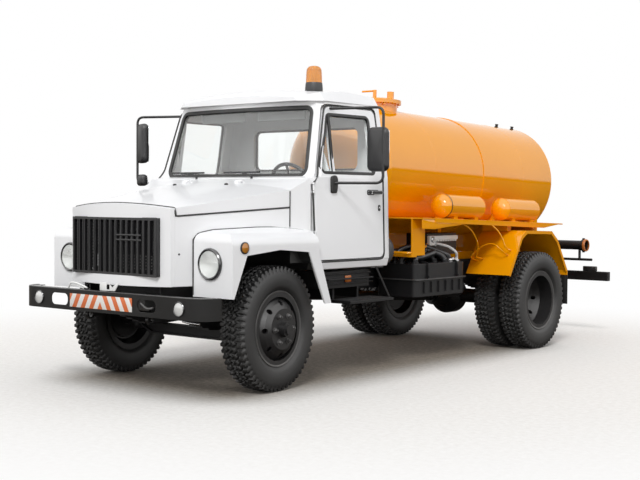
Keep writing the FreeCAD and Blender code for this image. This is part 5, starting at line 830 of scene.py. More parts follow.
def arch_liner():
    """A dark wheel house, whose black stands for the wall's own dark colour and for painted shade inside the arch: the
    opening's line in y and z, a little larger, is carried across under the fender.
    """
    line = even_steps(np.array(LINER_LINE), 0.04, closed=False)
    points = np.empty((len(line), len(LINER_X), 3))
    points[..., 0] = LINER_X[None]
    points[..., 1:] = line[:, None]
    walls = np.concatenate([points, (points + LINER_WALL * Z)[:, ::-1]], axis=1)
    first, last = (walls[end].mean(1, keepdims=True).repeat(walls.shape[1], 1) for end in (np.s_[:1], np.s_[-1:]))
    return grid(np.concatenate([first, walls, last]), round_cols=True)


# The wheel houses' black sheets also paint the shade inside the arches.
keep("arch_liners", both([arch_liner()]), LINER_BLACK_AND_SHADE, "chassis")


# Lamps

HEADLAMP_PLACE = np.array([0.785, -0.5903, 0.992])
HEADLAMP_RIM = [(0.098, 0.004), (0.117, 0.0), (0.119, 0.006), (0.117, 0.016), (0.108, 0.024), (0.098, 0.020),
                (0.096, 0.010)]
BOWL_RADIUS, LENS_RADIUS = 0.098, 0.0985
RIB_PITCH, RIB_RISE, RIBS_WITHIN = 0.014, 0.0011, 0.093


def headlamp(sign):
    """A rim, a bowl behind it and a lens: a shallow dome whose upright ribs follow a cosine across its face."""
    centre = HEADLAMP_PLACE * (sign, 1.0, 1.0)
    bowl = np.linspace(0.0, BOWL_RADIUS, 14)
    bowl = np.stack([bowl, 0.001 + 0.012 * (bowl / BOWL_RADIUS) ** 2], -1)
    r = np.linspace(0.0, LENS_RADIUS, 16)[:, None]
    t = np.linspace(0.0, 2 * math.pi, 96, endpoint=False)[None, :]
    x, z = r * np.cos(t), r * np.sin(t)
    ribs = RIB_RISE * np.cos(x * 2 * math.pi / RIB_PITCH) * (r < RIBS_WITHIN)
    out = 0.018 + 0.019 * (1 - (r / LENS_RADIUS) ** 2) + ribs
    lens = np.stack([centre[0] + x, centre[1] - out, centre[2] + z], -1)
    return turned(HEADLAMP_RIM, centre, -Y, 64), turned(bowl, centre, -Y, 48), grid(lens, round_cols=True)


def shallow_dome(radii, foot, rise, centre, axis):
    """A lamp's face: distance = foot + rise x (1 - (radius / largest radius)^2)."""
    return turned(np.stack([radii, foot + rise * (1 - (radii / radii.max()) ** 2)], -1), centre, axis)


lamps = [headlamp(sign) for sign in SIDES.values()]
keep("headlamp_rims", [lamp[0] for lamp in lamps], SATIN_BLACK, "chassis", "lamps")
keep("headlamp_bowls", [lamp[1] for lamp in lamps], REFLECTOR, "chassis", "lamps")
keep("headlamp_lenses", [lamp[2] for lamp in lamps], CLEAR_LENS, "chassis", "lamps")

FOG_RIM = [(0.046, 0.002), (0.054, 0.0), (0.055, 0.006), (0.050, 0.011), (0.046, 0.008)]
FOG_PLACES = [np.array([sign * 0.786, -0.9053, 0.685]) for sign in SIDES.values()]
fog_rims = [turned(FOG_RIM, place, -Y) for place in FOG_PLACES]
fog_faces = [shallow_dome(np.linspace(0.0, 0.0465, 10), 0.006, 0.010, place, -Y) for place in FOG_PLACES]
keep("fog_lamp_rims", fog_rims, SATIN_BLACK, "chassis", "lamps")
keep("fog_lamp_faces", fog_faces, FOG_WHITE, "chassis", "lamps")

TURN_RIM = [(0.0, 0.0), (0.044, 0.0), (0.044, 0.008), (0.037, 0.011)]
TURN_PLACES = [(np.array([sign * 1.0043, -0.466, 1.113]), sign * X) for sign in SIDES.values()]
turn_rims = [turned(TURN_RIM, place, out) for place, out in TURN_PLACES]
turn_faces = [shallow_dome(np.linspace(0.038, 0.0, 9), 0.009, 0.013, place, out) for place, out in TURN_PLACES]
keep("turn_lamp_rims", turn_rims, SOFT_RUBBER, "chassis", "lamps")
keep("turn_lamp_lenses", turn_faces, AMBER_LENS, "chassis", "lamps")

REAR_LAMP_X, REAR_LAMP_HALF = 0.825, 0.078


def rear_lenses(first, last):
    """Both lamps' lenses between two distances outwards from the lamp's middle."""
    spans = [sorted((sign * REAR_LAMP_X + sign * first, sign * REAR_LAMP_X + sign * last)) for sign in SIDES.values()]
    return [boxed((low, 5.376, 0.696), (high, 5.394, 0.741), 0.005) for low, high in spans]


rear_boxes = [boxed((x - REAR_LAMP_HALF, 5.337, 0.6905), (x + REAR_LAMP_HALF, 5.380, 0.746), 0.006)
              for x in (REAR_LAMP_X, -REAR_LAMP_X)]
keep("rear_lamp_boxes", rear_boxes, BLACK_PLASTIC, "chassis", "lamps")
keep("rear_lamp_red", rear_lenses(-0.070, 0.018), RED_LENS, "chassis", "lamps")
keep("rear_lamp_amber", rear_lenses(0.022, 0.072), AMBER_LENS, "chassis", "lamps")


# Beacon

beacon_low, beacon_high = (np.array(corner) - AXLE_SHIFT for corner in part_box("beacon"))
beacon_top = np.array([(beacon_low[0] + beacon_high[0]) / 2, (beacon_low[1] + beacon_high[1]) / 2, beacon_high[2]])
DOME_FOOT, DOME_HEIGHT, DOME_RADIUS, DOME_RIBS = -0.142, 0.141, 0.066, 22


def beacon_dome():
    """A tall dome: its radius falls by an ellipse towards the top and swells in upright ribs."""
    s = np.linspace(0.0, 1.0, 22)[:, None]
    height = DOME_FOOT + DOME_HEIGHT * np.sin(s * math.pi / 2)
    radius = DOME_RADIUS * (1 - 0.12 * s) * np.cos(np.clip((s - 0.45) / 0.55, 0.0, 1.0) * math.pi / 2) ** 0.55
    t = np.linspace(0.0, 2 * math.pi, 6 * DOME_RIBS, endpoint=False)[None, :]
    radius = radius * (1 + 0.016 * np.cos(DOME_RIBS * t) * (1 - s ** 4))
    points = np.stack([radius * np.cos(t), radius * np.sin(t), height + 0 * t], -1) + beacon_top
    return grid(points, round_cols=True)


keep("beacon_dome", beacon_dome(), AMBER_LENS, "chassis", "beacon")
foot = beacon_low[2] - beacon_high[2]
keep("beacon_base", turned([(0.0, foot), (0.073, foot), (0.074, foot + 0.02), (0.070, -0.150), (0.067, -0.138),
                            (0.0, -0.136)], beacon_top, Z), BLACK_PLASTIC, "chassis", "beacon")
keep("beacon_core", turned([(0.018, -0.138), (0.018, -0.060), (0.0, -0.055)], beacon_top, Z), REFLECTOR, "chassis")


# Grille, bumper and what stands between them

BAR_CORNER = 0.002


def straight_bar(start, end, width, height, up, corner=BAR_CORNER):
    """A bar between two points: a rounded rectangle carried along the line."""
    return swept(rounded_rectangle(width, height, min(corner, width * 0.4, height * 0.4), 3), [start, end], up)


GRILLE_HALF, LOUVRE_Y, EDGE_Y, UPRIGHT_Y, TRIM_Y = 0.448, -0.8145, -0.822, -0.8365, -0.8375
LOUVRE_PITCH, UPRIGHT_PITCH = 0.0235, 0.0621
louvres = [straight_bar((-GRILLE_HALF, LOUVRE_Y, z), (GRILLE_HALF, LOUVRE_Y, z), 0.004, 0.007, Z)
           for z in np.arange(0.925, 1.300, LOUVRE_PITCH)]
trims = [straight_bar((0.040, TRIM_Y, z), (0.315, TRIM_Y, z), 0.006, 0.013, Z) for z in (1.158, 1.194)]
uprights = [straight_bar((x, UPRIGHT_Y, 0.915), (x, UPRIGHT_Y, 1.303), 0.006, 0.010, X)
            for x in np.arange(-0.4036, 0.41, UPRIGHT_PITCH)]
# Painted highlight: lighter grey edges on the louvres, low down on the grille's left part, where the sun falls in.
edges = [straight_bar((x + 0.0185, EDGE_Y, z), (x + 0.0435, EDGE_Y, z), 0.003, 0.0065, Z)
         for z in np.arange(0.948, 1.050, LOUVRE_PITCH) for x in np.arange(-0.0620, 0.400, UPRIGHT_PITCH)]
keep("grille_louvres", louvres + trims + uprights, BLACK_PLASTIC, "chassis")
keep("grille_louvre_highlights", edges, LOUVRE_HIGHLIGHT_GREY, "chassis")

RIM_WIDTH, RIM_HEIGHT, RIM_Y, RIM_MIDDLE_Z, RIM_BOW_SHARE = 0.930, 0.425, -0.8400, 1.1085, 0.45
rim = rounded_rectangle(RIM_WIDTH, RIM_HEIGHT, 0.012, 5)
rim_path = np.stack([rim[:, 0], RIM_Y + nose_bow(rim[:, 0]) * RIM_BOW_SHARE, rim[:, 1] + RIM_MIDDLE_Z], -1)
keep("grille_rim", swept(rounded_rectangle(0.012, 0.010, 0.003, 3), rim_path, -Y, closed=True), BLACK_PLASTIC,
     "chassis")

keep("striped_plate", boxed((-0.412, -0.9095, 0.632), (0.294, -0.9055, 0.735), 0.0015), STRIPES, "chassis")


LIP_Z, LIP_INSET, BUMPER_CORNER = 0.7655, 0.016, 0.168
BUMPER_STRAIGHT_HALF, BUMPER_BEND_Y, BUMPER_FACE_Y = 0.867, -0.737, -0.905


def lip_line():
    """The line of the bumper's top lip from above: straight ahead and a quarter circle at each corner."""
    t = np.linspace(0.0, math.pi / 2, 14)
    corner = BUMPER_CORNER - LIP_INSET
    left = np.stack([BUMPER_STRAIGHT_HALF + corner * np.sin(t), BUMPER_BEND_Y - corner * np.cos(t)], -1)
    line = np.concatenate([left[::-1], [[0.0, BUMPER_FACE_Y + LIP_INSET]], left * (-1, 1)])
    return np.stack([line[:, 0], line[:, 1], np.full(len(line), LIP_Z)], -1)


# The bumper's top lip in lighter grey: a painted sheen line along its edge.
lip = even_steps(lip_line(), 0.05, closed=False)
keep("bumper_top_lip", swept(rounded_rectangle(0.030, 0.004, 0.0015, 3), lip, Z), RIM_GREY, "chassis")

nose_rods = [
    tube([(-0.475, -0.870, 0.772), (-0.440, -0.874, 0.812), (-0.370, -0.874, 0.812), (-0.255, -0.868, 0.782)], 0.007),
    tube([(-0.455, -0.866, 0.790), (-0.400, -0.866, 0.797), (-0.300, -0.864, 0.776)], 0.005),
]
keep("nose_rods", nose_rods, PALE_PLASTIC, "chassis")
ARM_OUTLINE = [(0.000, -0.030), (0.060, -0.030), (0.105, 0.032), (0.088, 0.034), (0.030, 0.000), (0.000, 0.026)]
arm = rounded_outline(ARM_OUTLINE, 0.004, 3) - (0.05, 0.0)
bracket = [boxed((-0.110, -0.868, 0.769), (-0.035, -0.862, 0.833), 0.002),
           slab(arm, (0.05, -0.862, 0.802), X, Z, 0.006, 0.0015),
           straight_bar((-0.040, -0.864, 0.776), (0.030, -0.864, 0.776), 0.006, 0.010, Z)]
keep("nose_bracket", bracket, PALE_PLASTIC, "chassis")
hook = tube([(0.375, -0.893, 0.705), (0.395, -0.899, 0.695), (0.440, -0.901, 0.670), (0.475, -0.896, 0.668),
             (0.500, -0.888, 0.676)], 0.009)
keep("bumper_hook", hook, RIM_GREY, "chassis")
rod = tube([(0.760, -0.845, 0.594), (0.820, -0.842, 0.586), (0.905, -0.820, 0.580)], 0.008)
keep("bumper_stay", rod, BRIGHT_STEEL, "chassis")


# Small fittings on the sheet metal

def screw(place, axis, radius, rise):
    """A flat round head with a sloping rim, turned about its axis."""
    return turned([(radius, -0.002), (radius, rise * 0.4), (radius * 0.7, rise), (0.0, rise)], place, axis, 14)


find_nose = surface_finder("nose_panel")
find_flank = surface_finder("flanks")
screws = [screw(find_nose((-0.500, -2.0, z), Y), -Y, 0.0065, 0.003) for z in (1.262, 0.930)]
screws += [screw(find_flank((sign * 3.0, -0.700, 1.060), -sign * X), sign * X, 0.008, 0.004)
           for sign in SIDES.values()]
keep("screws", screws, SOFT_RUBBER, "chassis")

JET = [(0.016, -0.004), (0.016, 0.006), (0.010, 0.012), (0.0, 0.013)]
jets = [turned(JET, find_bonnet((x, 0.120, 3.0), -Z), Z, 20) for x in (-0.330, 0.260)]
keep("washer_jets", jets, SOFT_RUBBER, "bonnet")

LOCK_Y, LOCK_Z, HANDLE_Y, HANDLE_Z, MOUNT_Y, MOUNT_Z = 1.260, 1.399, 1.195, 1.528, 0.668, 1.600
MOUNT_OUTLINE = [(-0.040, -0.075), (0.030, -0.075), (0.042, -0.020), (0.042, 0.050), (0.015, 0.072), (-0.040, 0.060)]
lock_x, handle_x, mount_x, sleeve_x = (
    find_door((3.0, y, z), -X)[0]
    for y, z in ((LOCK_Y, LOCK_Z), (1.100, HANDLE_Z), (MOUNT_Y, MOUNT_Z), (HANDLE_Y, HANDLE_Z)))
door_fittings = [
    slab(rounded_rectangle(0.030, 0.052, 0.013, 4), (lock_x - 0.001, LOCK_Y, LOCK_Z), Y, Z, 0.005, 0.0015),
    slab(rounded_rectangle(0.185, 0.044, 0.014, 5), (handle_x - 0.001, HANDLE_Y, HANDLE_Z), Y, Z, 0.004, 0.0015),
    boxed((handle_x + 0.001, 1.1175, 1.5125), (sleeve_x + 0.0015, 1.2725, 1.5435), 0.009),
    slab(rounded_outline(MOUNT_OUTLINE, 0.018, 4), (mount_x - 0.001, 0.672, 1.592), Y, Z, 0.020, 0.007),
]
door_lock = [turned([(0.009, 0.002), (0.009, 0.006), (0.007, 0.008), (0.0, 0.008)], (lock_x, LOCK_Y, LOCK_Z), X, 20)]
for side in SIDES:
    keep("door_fittings_" + side, on_side(side, door_fittings), SOFT_RUBBER, "door_" + side)
    keep("door_lock_" + side, on_side(side, door_lock), BRIGHT_STEEL, "door_" + side)


# Mirrors

MIRROR_FACE_Y, MIRROR_DEPTH = 0.908, 0.0655
TUBE_X, TUBE_Y, TUBE_RADIUS, TUBE_BEND = 1.275, 0.848, 0.011, 0.060
TUBE_TOP_Y, TUBE_TOP_Z, TUBE_ROOT = 0.740, 2.200, 0.006
RIGHT_FORWARD, RIGHT_TURN, RIGHT_LIFT = 0.285, math.radians(26.0), np.array([0.0, 0.0, 0.092])
HEAD_X, HEAD_Z, SMALL_X, SMALL_Z = 1.205, 1.869, 1.223, 1.631


def mirror_arm(forward):
    """The bent tube that carries a mirror: out from the door, down past the head and back in, with round bends."""
    top_x = find_door((3.0, TUBE_TOP_Y, TUBE_TOP_Z - 0.010), -X)[0] - TUBE_ROOT
    low_x = find_door((3.0, MOUNT_Y, MOUNT_Z), -X)[0] - TUBE_ROOT
    ends = [(top_x, TUBE_TOP_Y, TUBE_TOP_Z), (TUBE_X, TUBE_Y - forward, TUBE_TOP_Z),
            (TUBE_X, TUBE_Y - forward, MOUNT_Z), (low_x, MOUNT_Y, MOUNT_Z)]
    bends = rounded_outline(ends, TUBE_BEND, 8)[8:-8]
    path = even_steps(np.concatenate([ends[:1], bends, ends[-1:]]), 0.012, closed=False)
    return swept(circle(TUBE_RADIUS, 14), path, (0.0, 1.0, 0.02))


def mirror_shell(x, z, width, height, corner):
    """A head with a full back: a rounded plate whose rim is drawn in towards the front."""
    outline = even_steps(rounded_rectangle(width, height, corner, 8), 0.008)
    return slab(outline, (x, MIRROR_FACE_Y, z), X, Z, MIRROR_DEPTH, 0.026)


def mirror_glass(x, z, width, height, corner):
    """The mirror's face: a thin rounded plate a little proud of the head."""
    return slab(rounded_rectangle(width, height, corner, 6), (x, MIRROR_FACE_Y - 0.002, z), -X, Z, 0.004, 0.001)


def turned_in(part):
    """The right mirror's place: turned about its tube, set forward, and mirrored."""
    points, faces = part
    away = points - (TUBE_X, TUBE_Y, 0.0)
    x = away[:, 0] * math.cos(RIGHT_TURN) - away[:, 1] * math.sin(RIGHT_TURN)
    y = away[:, 0] * math.sin(RIGHT_TURN) + away[:, 1] * math.cos(RIGHT_TURN)
    return mirrored((np.stack([x + TUBE_X, y + TUBE_Y - RIGHT_FORWARD, away[:, 2]], -1), faces))


left_glass = mirror_glass(HEAD_X, HEAD_Z, 0.172, 0.330, 0.030)
small_glass = mirror_glass(SMALL_X, SMALL_Z, 0.138, 0.086, 0.020)
keep("mirror_glass_left", left_glass, MIRROR_GLASS, "door_left")
keep("mirror_glass_right", [turned_in(moved(left_glass, RIGHT_LIFT)), turned_in(small_glass)], MIRROR_GLASS,
     "door_right")
left_shell = mirror_shell(HEAD_X, HEAD_Z, 0.196, 0.354, 0.046)
small_shell = mirror_shell(SMALL_X, SMALL_Z, 0.160, 0.104, 0.030)
keep("mirror_left_shell", [left_shell, mirror_arm(0.0)], BLACK_PLASTIC, "door_left", "mirror_left")
keep("mirror_right_shell", [turned_in(moved(left_shell, RIGHT_LIFT)), turned_in(small_shell),
                            mirrored(mirror_arm(RIGHT_FORWARD))], BLACK_PLASTIC, "door_right", "mirror_right")


# Tank, shelves and vessels

TANK_FRONT_Y, TANK_FRONT_Z, TANK_RADIUS = 1.900, 1.7588, 0.600
TILT = math.radians(1.8)
TANK_AXIS = np.array([0.0, math.cos(TILT), -math.sin(TILT)])
TANK_UP = np.array([0.0, math.sin(TILT), math.cos(TILT)])


def on_axis(y):
    """A point of the tank's axis: it falls evenly to the rear by the tilt."""
    return np.array([0.0, y, TANK_FRONT_Z - (y - TANK_FRONT_Y) * math.tan(TILT)])


def hoop(profile, centre, axis, sides):
    """A closed profile (radius, distance) turned into a ring, joined to itself along and round."""
    return grid(turned(profile, centre, axis, sides)[0].reshape(len(profile), sides, 3), round_rows=True,
                round_cols=True)


WELD_WIDTH, WELD_RISE, WELD_ROOT = 0.011, 0.0022, 0.004
STUD = [(0.022, 0.0), (0.022, 0.008), (0.015, 0.010), (0.015, 0.026), (0.018, 0.029), (0.018, 0.036), (0.0, 0.038)]
STUD_LEAN, STUD_ROOT = 0.165, 0.004
FLANGE_BOLT = [(0.0, 0.0), (0.012, 0.0), (0.012, 0.008), (0.007, 0.009), (0.007, 0.018), (0.0, 0.018)]
NECK_Y, NECK_HEIGHT, BOLT_CIRCLE = 2.420, 0.662, 0.240


def tank_weld(y):
    """A bead round the barrel: its height rises and falls as a cosine over its width."""
    s = np.linspace(-1.0, 1.0, 9)
    profile = np.stack([TANK_RADIUS - 0.001 + WELD_RISE * 0.5 * (1 + np.cos(math.pi * s)), s * WELD_WIDTH / 2], -1)
    foot = TANK_RADIUS - WELD_ROOT
    profile = np.concatenate([[[foot, -WELD_WIDTH / 2]], profile, [[foot, WELD_WIDTH / 2]]])
    return hoop(profile, on_axis(y), TANK_AXIS, 160)


keep("tank_welds", [tank_weld(y) for y in (1.903, 2.610, 4.250, 4.857)], TANK_ORANGE, "chassis")
stud_out = math.cos(STUD_LEAN) * TANK_UP + math.sin(STUD_LEAN) * X
studs = [turned(STUD, on_axis(y) + stud_out * (TANK_RADIUS - STUD_ROOT), stud_out, 24) for y in (4.515, 4.842)]
keep("tank_studs", studs, CHASSIS_BLACK, "chassis")

neck_top = on_axis(NECK_Y) + TANK_UP * NECK_HEIGHT
bolts = []
for angle in np.radians([20, 60, 130, 170, 215, 250, 290, 330]):
    away = (math.cos(angle) * X + math.sin(angle) * np.cross(TANK_UP, X)) * BOLT_CIRCLE
    bolts.append(turned(FLANGE_BOLT, neck_top + away - TANK_UP * 0.026 - TANK_UP * 0.014, TANK_UP, 12))
keep("flange_bolts", bolts, TANK_ORANGE, "chassis")


def shelf_z(y):
    """The shelf's top: it falls to the rear with the tank's axis."""
    return 1.316 - (y - 1.800) * math.tan(TILT)


def shelf_side(x_low, x_high):
    """A plate under the shelf's outer edge: deep at the front, it tapers with a kink to the lip's depth."""
    line = [(1.874, shelf_z(1.874) - 0.0125), (1.874, shelf_z(1.874) - 0.098), (2.070, shelf_z(2.070) - 0.098),
            (2.225, shelf_z(2.225) - 0.080), (2.610, shelf_z(2.610) - 0.040), (2.610, shelf_z(2.610) - 0.0125)]
    ring = rounded_outline(line, 0.004, 3)
    middle = ring.mean(0)
    return slab(ring - middle, (x_low, middle[0], middle[1]), Y, Z, x_high - x_low, 0.001)


keep("shelf_side_plates", both([shelf_side(0.9485, 0.9545)]), TANK_ORANGE, "chassis")

SHELF_FRONT, SHELF_LENGTH = 1.870, 2.580
VESSEL_X, VESSEL_RADIUS, VESSEL_LENGTH, VESSEL_SHARES = 0.830, 0.108, 0.7095, (0.167, 0.574)
DOME_SHARE, VESSEL_FOOT, VESSEL_SEAT = 0.6, 0.010, 0.0003
STRAP_BAND = np.array([(-0.001, -0.005), (0.0012, -0.005), (0.0012, 0.005), (-0.001, 0.005)])


def vessel_front(share):
    """Where a vessel's round part starts, at a share of the shelf's length, on its feet."""
    front = SHELF_FRONT + SHELF_LENGTH * share + VESSEL_RADIUS * DOME_SHARE
    return np.array([VESSEL_X, front, shelf_z(front) + VESSEL_SEAT + VESSEL_RADIUS / math.cos(TILT) + VESSEL_FOOT])


def vessel_weld(share, along):
    """A bead round a vessel: an ellipse turned about the vessel's axis."""
    s = np.linspace(0.0, 2 * math.pi, 10, endpoint=False)
    bead = np.stack([VESSEL_RADIUS + WELD_RISE * np.cos(s), along + 0.005 * np.sin(s)], -1)
    return hoop(bead, vessel_front(share), TANK_AXIS, 64)


vessel_welds = []
for share in VESSEL_SHARES:
    straight = VESSEL_LENGTH - 2 * VESSEL_RADIUS * DOME_SHARE
    vessel_welds += both([vessel_weld(share, along) for along in (0.0, straight)])
strap = hoop(STRAP_BAND + (VESSEL_RADIUS, 0.016), vessel_front(VESSEL_SHARES[0]), TANK_AXIS, 64)
keep("vessel_welds", vessel_welds, TANK_ORANGE, "chassis")
keep("vessel_straps", both([strap]), CHASSIS_BLACK, "chassis")


# Left side: hoses, pipes and gauge

HOSE_PITCH, HOSE_RISE, STEPS_A_RIB, HOSE_SIDES = 0.016, 0.0018, 5, 20
DECK_Z = 0.9003


def ribbed_hose(points, radius):
    """A hose whose radius swells as a cosine along its length."""
    line = even_steps(smooth_line(np.array(points, float), 12), HOSE_PITCH / STEPS_A_RIB, closed=False)
    swell = radius + HOSE_RISE * np.cos(np.arange(len(line)) * 2 * math.pi / STEPS_A_RIB)
    ahead = np.gradient(line, axis=0)
    side = np.cross(ahead, (0.2, 0.1, 0.95))
    side /= np.linalg.norm(side, axis=1, keepdims=True)
    top = np.cross(side, ahead)
    top /= np.linalg.norm(top, axis=1, keepdims=True)
    t = np.linspace(0.0, 2 * math.pi, HOSE_SIDES, endpoint=False)
    ring = np.cos(t)[None, :, None] * side[:, None] + np.sin(t)[None, :, None] * top[:, None]
    first, last = (np.broadcast_to(line[end], (1, HOSE_SIDES, 3)) for end in (0, -1))
    return grid(np.concatenate([first, line[:, None] + swell[:, None, None] * ring, last]), round_cols=True)


def hose_union(radius):
    """The profile of the collar round a hose's foot."""
    return [(0.0, -0.001), (radius + 0.012, -0.001), (radius + 0.012, 0.012), (radius + 0.005, 0.016),
            (radius + 0.005, 0.030), (radius - 0.004, 0.032)]


HOSE_LINES = [
    ([(0.540, 1.930, 0.902), (0.545, 1.950, 0.955), (0.600, 2.060, 0.968), (0.630, 2.300, 0.960), (0.600, 2.480, 0.962),
      (0.545, 2.600, 0.955), (0.530, 2.640, 0.902)], 0.030),
    ([(0.815, 1.960, 0.902), (0.812, 1.985, 0.948), (0.800, 2.100, 0.955), (0.780, 2.280, 0.980), (0.715, 2.420, 0.995),
      (0.670, 2.560, 0.965), (0.665, 2.640, 0.902)], 0.028),
    ([(0.470, 1.940, 0.902), (0.480, 1.965, 0.965), (0.530, 2.100, 1.000), (0.640, 2.220, 1.020), (0.750, 2.330, 0.995),
      (0.800, 2.420, 0.955), (0.815, 2.455, 0.902)], 0.026),
    ([(0.690, 1.930, 0.902), (0.690, 1.950, 0.950), (0.700, 2.060, 0.995), (0.690, 2.200, 1.010), (0.720, 2.340, 0.965),
      (0.735, 2.385, 0.902)], 0.026),
    ([(0.600, 1.960, 0.902), (0.605, 1.985, 0.990), (0.640, 2.120, 1.040), (0.700, 2.260, 1.045), (0.745, 2.380, 1.010),
      (0.790, 2.520, 0.960), (0.735, 2.640, 0.902)], 0.024),
]
keep("hoses", [ribbed_hose(line, radius) for line, radius in HOSE_LINES], HOSE_BLACK, "chassis")
unions = [turned(hose_union(radius), (end[0], end[1], DECK_Z), Z, 24)
          for line, radius in HOSE_LINES for end in (line[0], line[-1])]
keep("hose_unions", unions, CHASSIS_BLACK, "chassis")

BOX_FACE_X = 0.7005
PALE_LINE = [(BOX_FACE_X, 2.450, 1.062), (0.732, 2.455, 1.064), (0.785, 2.540, 1.040), (0.815, 2.625, 0.990),
             (0.800, 2.672, 0.945), (0.790, 2.680, 0.902)]
PALE_FOOT = [(0.0, -0.001), (0.024, -0.001), (0.024, 0.014), (0.015, 0.020), (0.013, 0.040), (0.0, 0.040)]
PALE_HEAD = [(0.0, 0.0), (0.022, 0.0), (0.022, 0.010), (0.013, 0.016), (0.0, 0.016)]
pale_pipe = [tube(PALE_LINE, 0.012, sides=16), turned(PALE_FOOT, (0.790, 2.680, DECK_Z), Z, 24),
             turned(PALE_HEAD, PALE_LINE[0], X, 20)]
keep("pale_pipe", pale_pipe, PALE_PLASTIC, "chassis")

RESERVOIR_X, RESERVOIR_Z, RESERVOIR_RADIUS, RESERVOIR_DOME = 0.560, 0.630, 0.095, 0.055
RESERVOIR_FRONT, RESERVOIR_REAR, HANGER_IN, HANGER_HALF = 2.745, 3.090, 0.08, 0.020


def air_reservoir():
    """A round vessel along the frame with domed ends: its radius falls by an ellipse over each end. Two straps
    with hangers carry it."""
    s = np.linspace(0.0, math.pi / 2, 9)
    dome = np.stack([RESERVOIR_RADIUS * np.sin(s), RESERVOIR_DOME * (1 - np.cos(s))], -1)
    line = np.concatenate([dome, dome[::-1] * (1.0, -1.0) + (0.0, RESERVOIR_REAR - RESERVOIR_FRONT)])
    inner, outer, top = RESERVOIR_RADIUS - 0.001, RESERVOIR_RADIUS + 0.003, RESERVOIR_Z + RESERVOIR_RADIUS
    band = [(inner, -0.015), (outer, -0.015), (outer, 0.015), (inner, 0.015)]
    parts = [turned(line, (RESERVOIR_X, RESERVOIR_FRONT, RESERVOIR_Z), Y, 40)]
    places = (RESERVOIR_FRONT + HANGER_IN, RESERVOIR_REAR - HANGER_IN)
    parts += [turned(band, (RESERVOIR_X, y, RESERVOIR_Z), Y, 40) for y in places]
    for x_low, x_high, z_high in ((0.398, RESERVOIR_X + 0.02, top + 0.006), (0.4005, 0.408, 0.830)):
        parts += [boxed((x_low, y - HANGER_HALF, top - 0.004), (x_high, y + HANGER_HALF, z_high), 0.002)
                  for y in places]
    return parts


keep("air_reservoir", air_reservoir(), CHASSIS_BLACK, "chassis")
FUEL_CAP = [(0.0, 0.0), (0.046, 0.0), (0.048, 0.006), (0.046, 0.026), (0.040, 0.031), (0.0, 0.033)]
fuel_cap = [turned(FUEL_CAP, (0.800, 2.560, DECK_Z), Z, 40),
            boxed((0.760, 2.548, 0.930), (0.840, 2.572, 0.939), 0.003)]
keep("fuel_cap", fuel_cap, BRIGHT_STEEL, "chassis")

TANK_RIB_X = 0.8815
fuel_ribs = [straight_bar((TANK_RIB_X, y, 0.640), (TANK_RIB_X, y, 0.740), 0.004, 0.030, X, 0.0018)
             for y in np.linspace(2.010, 2.590, 6)]
for y in (2.060, 2.540):
    strap = [(0.900, y, 0.772), (0.8835, y, 0.800), (0.8835, y, 0.870), (0.8600, y, 0.9030), (0.700, y, 0.9035),
             (0.450, y, 0.9035)]
    fuel_ribs.append(swept(rounded_rectangle(0.034, 0.004, 0.0015, 3), smooth_line(np.array(strap), 5), Y))
keep("fuel_tank_ribs", fuel_ribs, CHASSIS_BLACK, "chassis")
FUEL_SEAM = [(0.430, 1.884), (0.896, 1.884), (0.896, 2.716), (0.430, 2.716)]
FUEL_SEAM_Z = 0.760
fuel_seam = rounded_outline(FUEL_SEAM, 0.060, 6)
fuel_seam = even_steps(np.concatenate([fuel_seam, np.full((len(fuel_seam), 1), FUEL_SEAM_Z)], axis=1), 0.03)
keep("fuel_seam_edge", swept(rounded_rectangle(0.003, 0.010, 0.001, 2), fuel_seam, Z, closed=True), RIM_GREY,
     "chassis")

gauge = [boxed((BOX_FACE_X, 2.322, 1.050), (0.734, 2.405, 1.140), 0.006),
         boxed((BOX_FACE_X, 2.400, 1.100), (0.730, 2.800, 1.138), 0.004)]
gauge += [boxed((BOX_FACE_X, y, 1.084), (0.728, y + 0.022, 1.104), 0.003) for y in np.arange(2.420, 2.790, 0.042)]
keep("gauge_strip", gauge, PALE_PLASTIC, "chassis")
GAUGE_DIAL = [(0.0, 0.0), (0.028, 0.0), (0.028, 0.010), (0.024, 0.013), (0.0, 0.0125)]
keep("gauge_dial", turned(GAUGE_DIAL, (0.734, 2.364, 1.104), X, 32), BRIGHT_STEEL, "chassis")

VALVE = [(0.0, -0.090), (0.014, -0.090), (0.014, 0.0), (0.022, 0.0), (0.026, 0.010), (0.026, 0.040), (0.016, 0.050),
         (0.016, 0.075), (0.0, 0.076)]
find_guard = surface_finder("mudguards")
pipes = [
    tube([(0.860, 2.640, 1.262), (0.900, 2.760, 1.190), (0.880, 2.900, 1.080), (0.820, 3.010, 0.985),
          (0.765, 3.080, 0.925), find_guard((0.760, 2.900, 0.900), Y)], 0.0065),
    tube([(0.930, 3.010, 1.262), (0.985, 3.100, 1.180), (1.020, 3.150, 1.080), (1.030, 3.170, 1.020),
          find_guard((1.032, 2.900, 0.990), Y)], 0.0065),
    tube([find_guard((0.700, 2.900, 0.880), Y), (0.710, 3.070, 0.920), (0.760, 3.080, 0.980), (0.840, 3.100, 1.040),
          (0.930, 3.120, 1.050), (1.000, 3.130, 1.000), find_guard((1.020, 2.900, 0.940), Y)], 0.006),
    tube([(0.450, 1.800, 1.004), (0.600, 1.820, 1.005), (0.800, 1.842, 1.000), (0.838, 1.874, 1.000)], 0.012),
    tube([(0.730, 2.160, 1.020), (0.736, 2.200, 1.032), (0.730, 2.250, 1.042), (0.698, 2.322, 1.060)], 0.012),
    turned(VALVE, (0.730, 2.150, 0.990), Z, 24),
]
keep("side_pipes", pipes, TANK_ORANGE, "chassis")

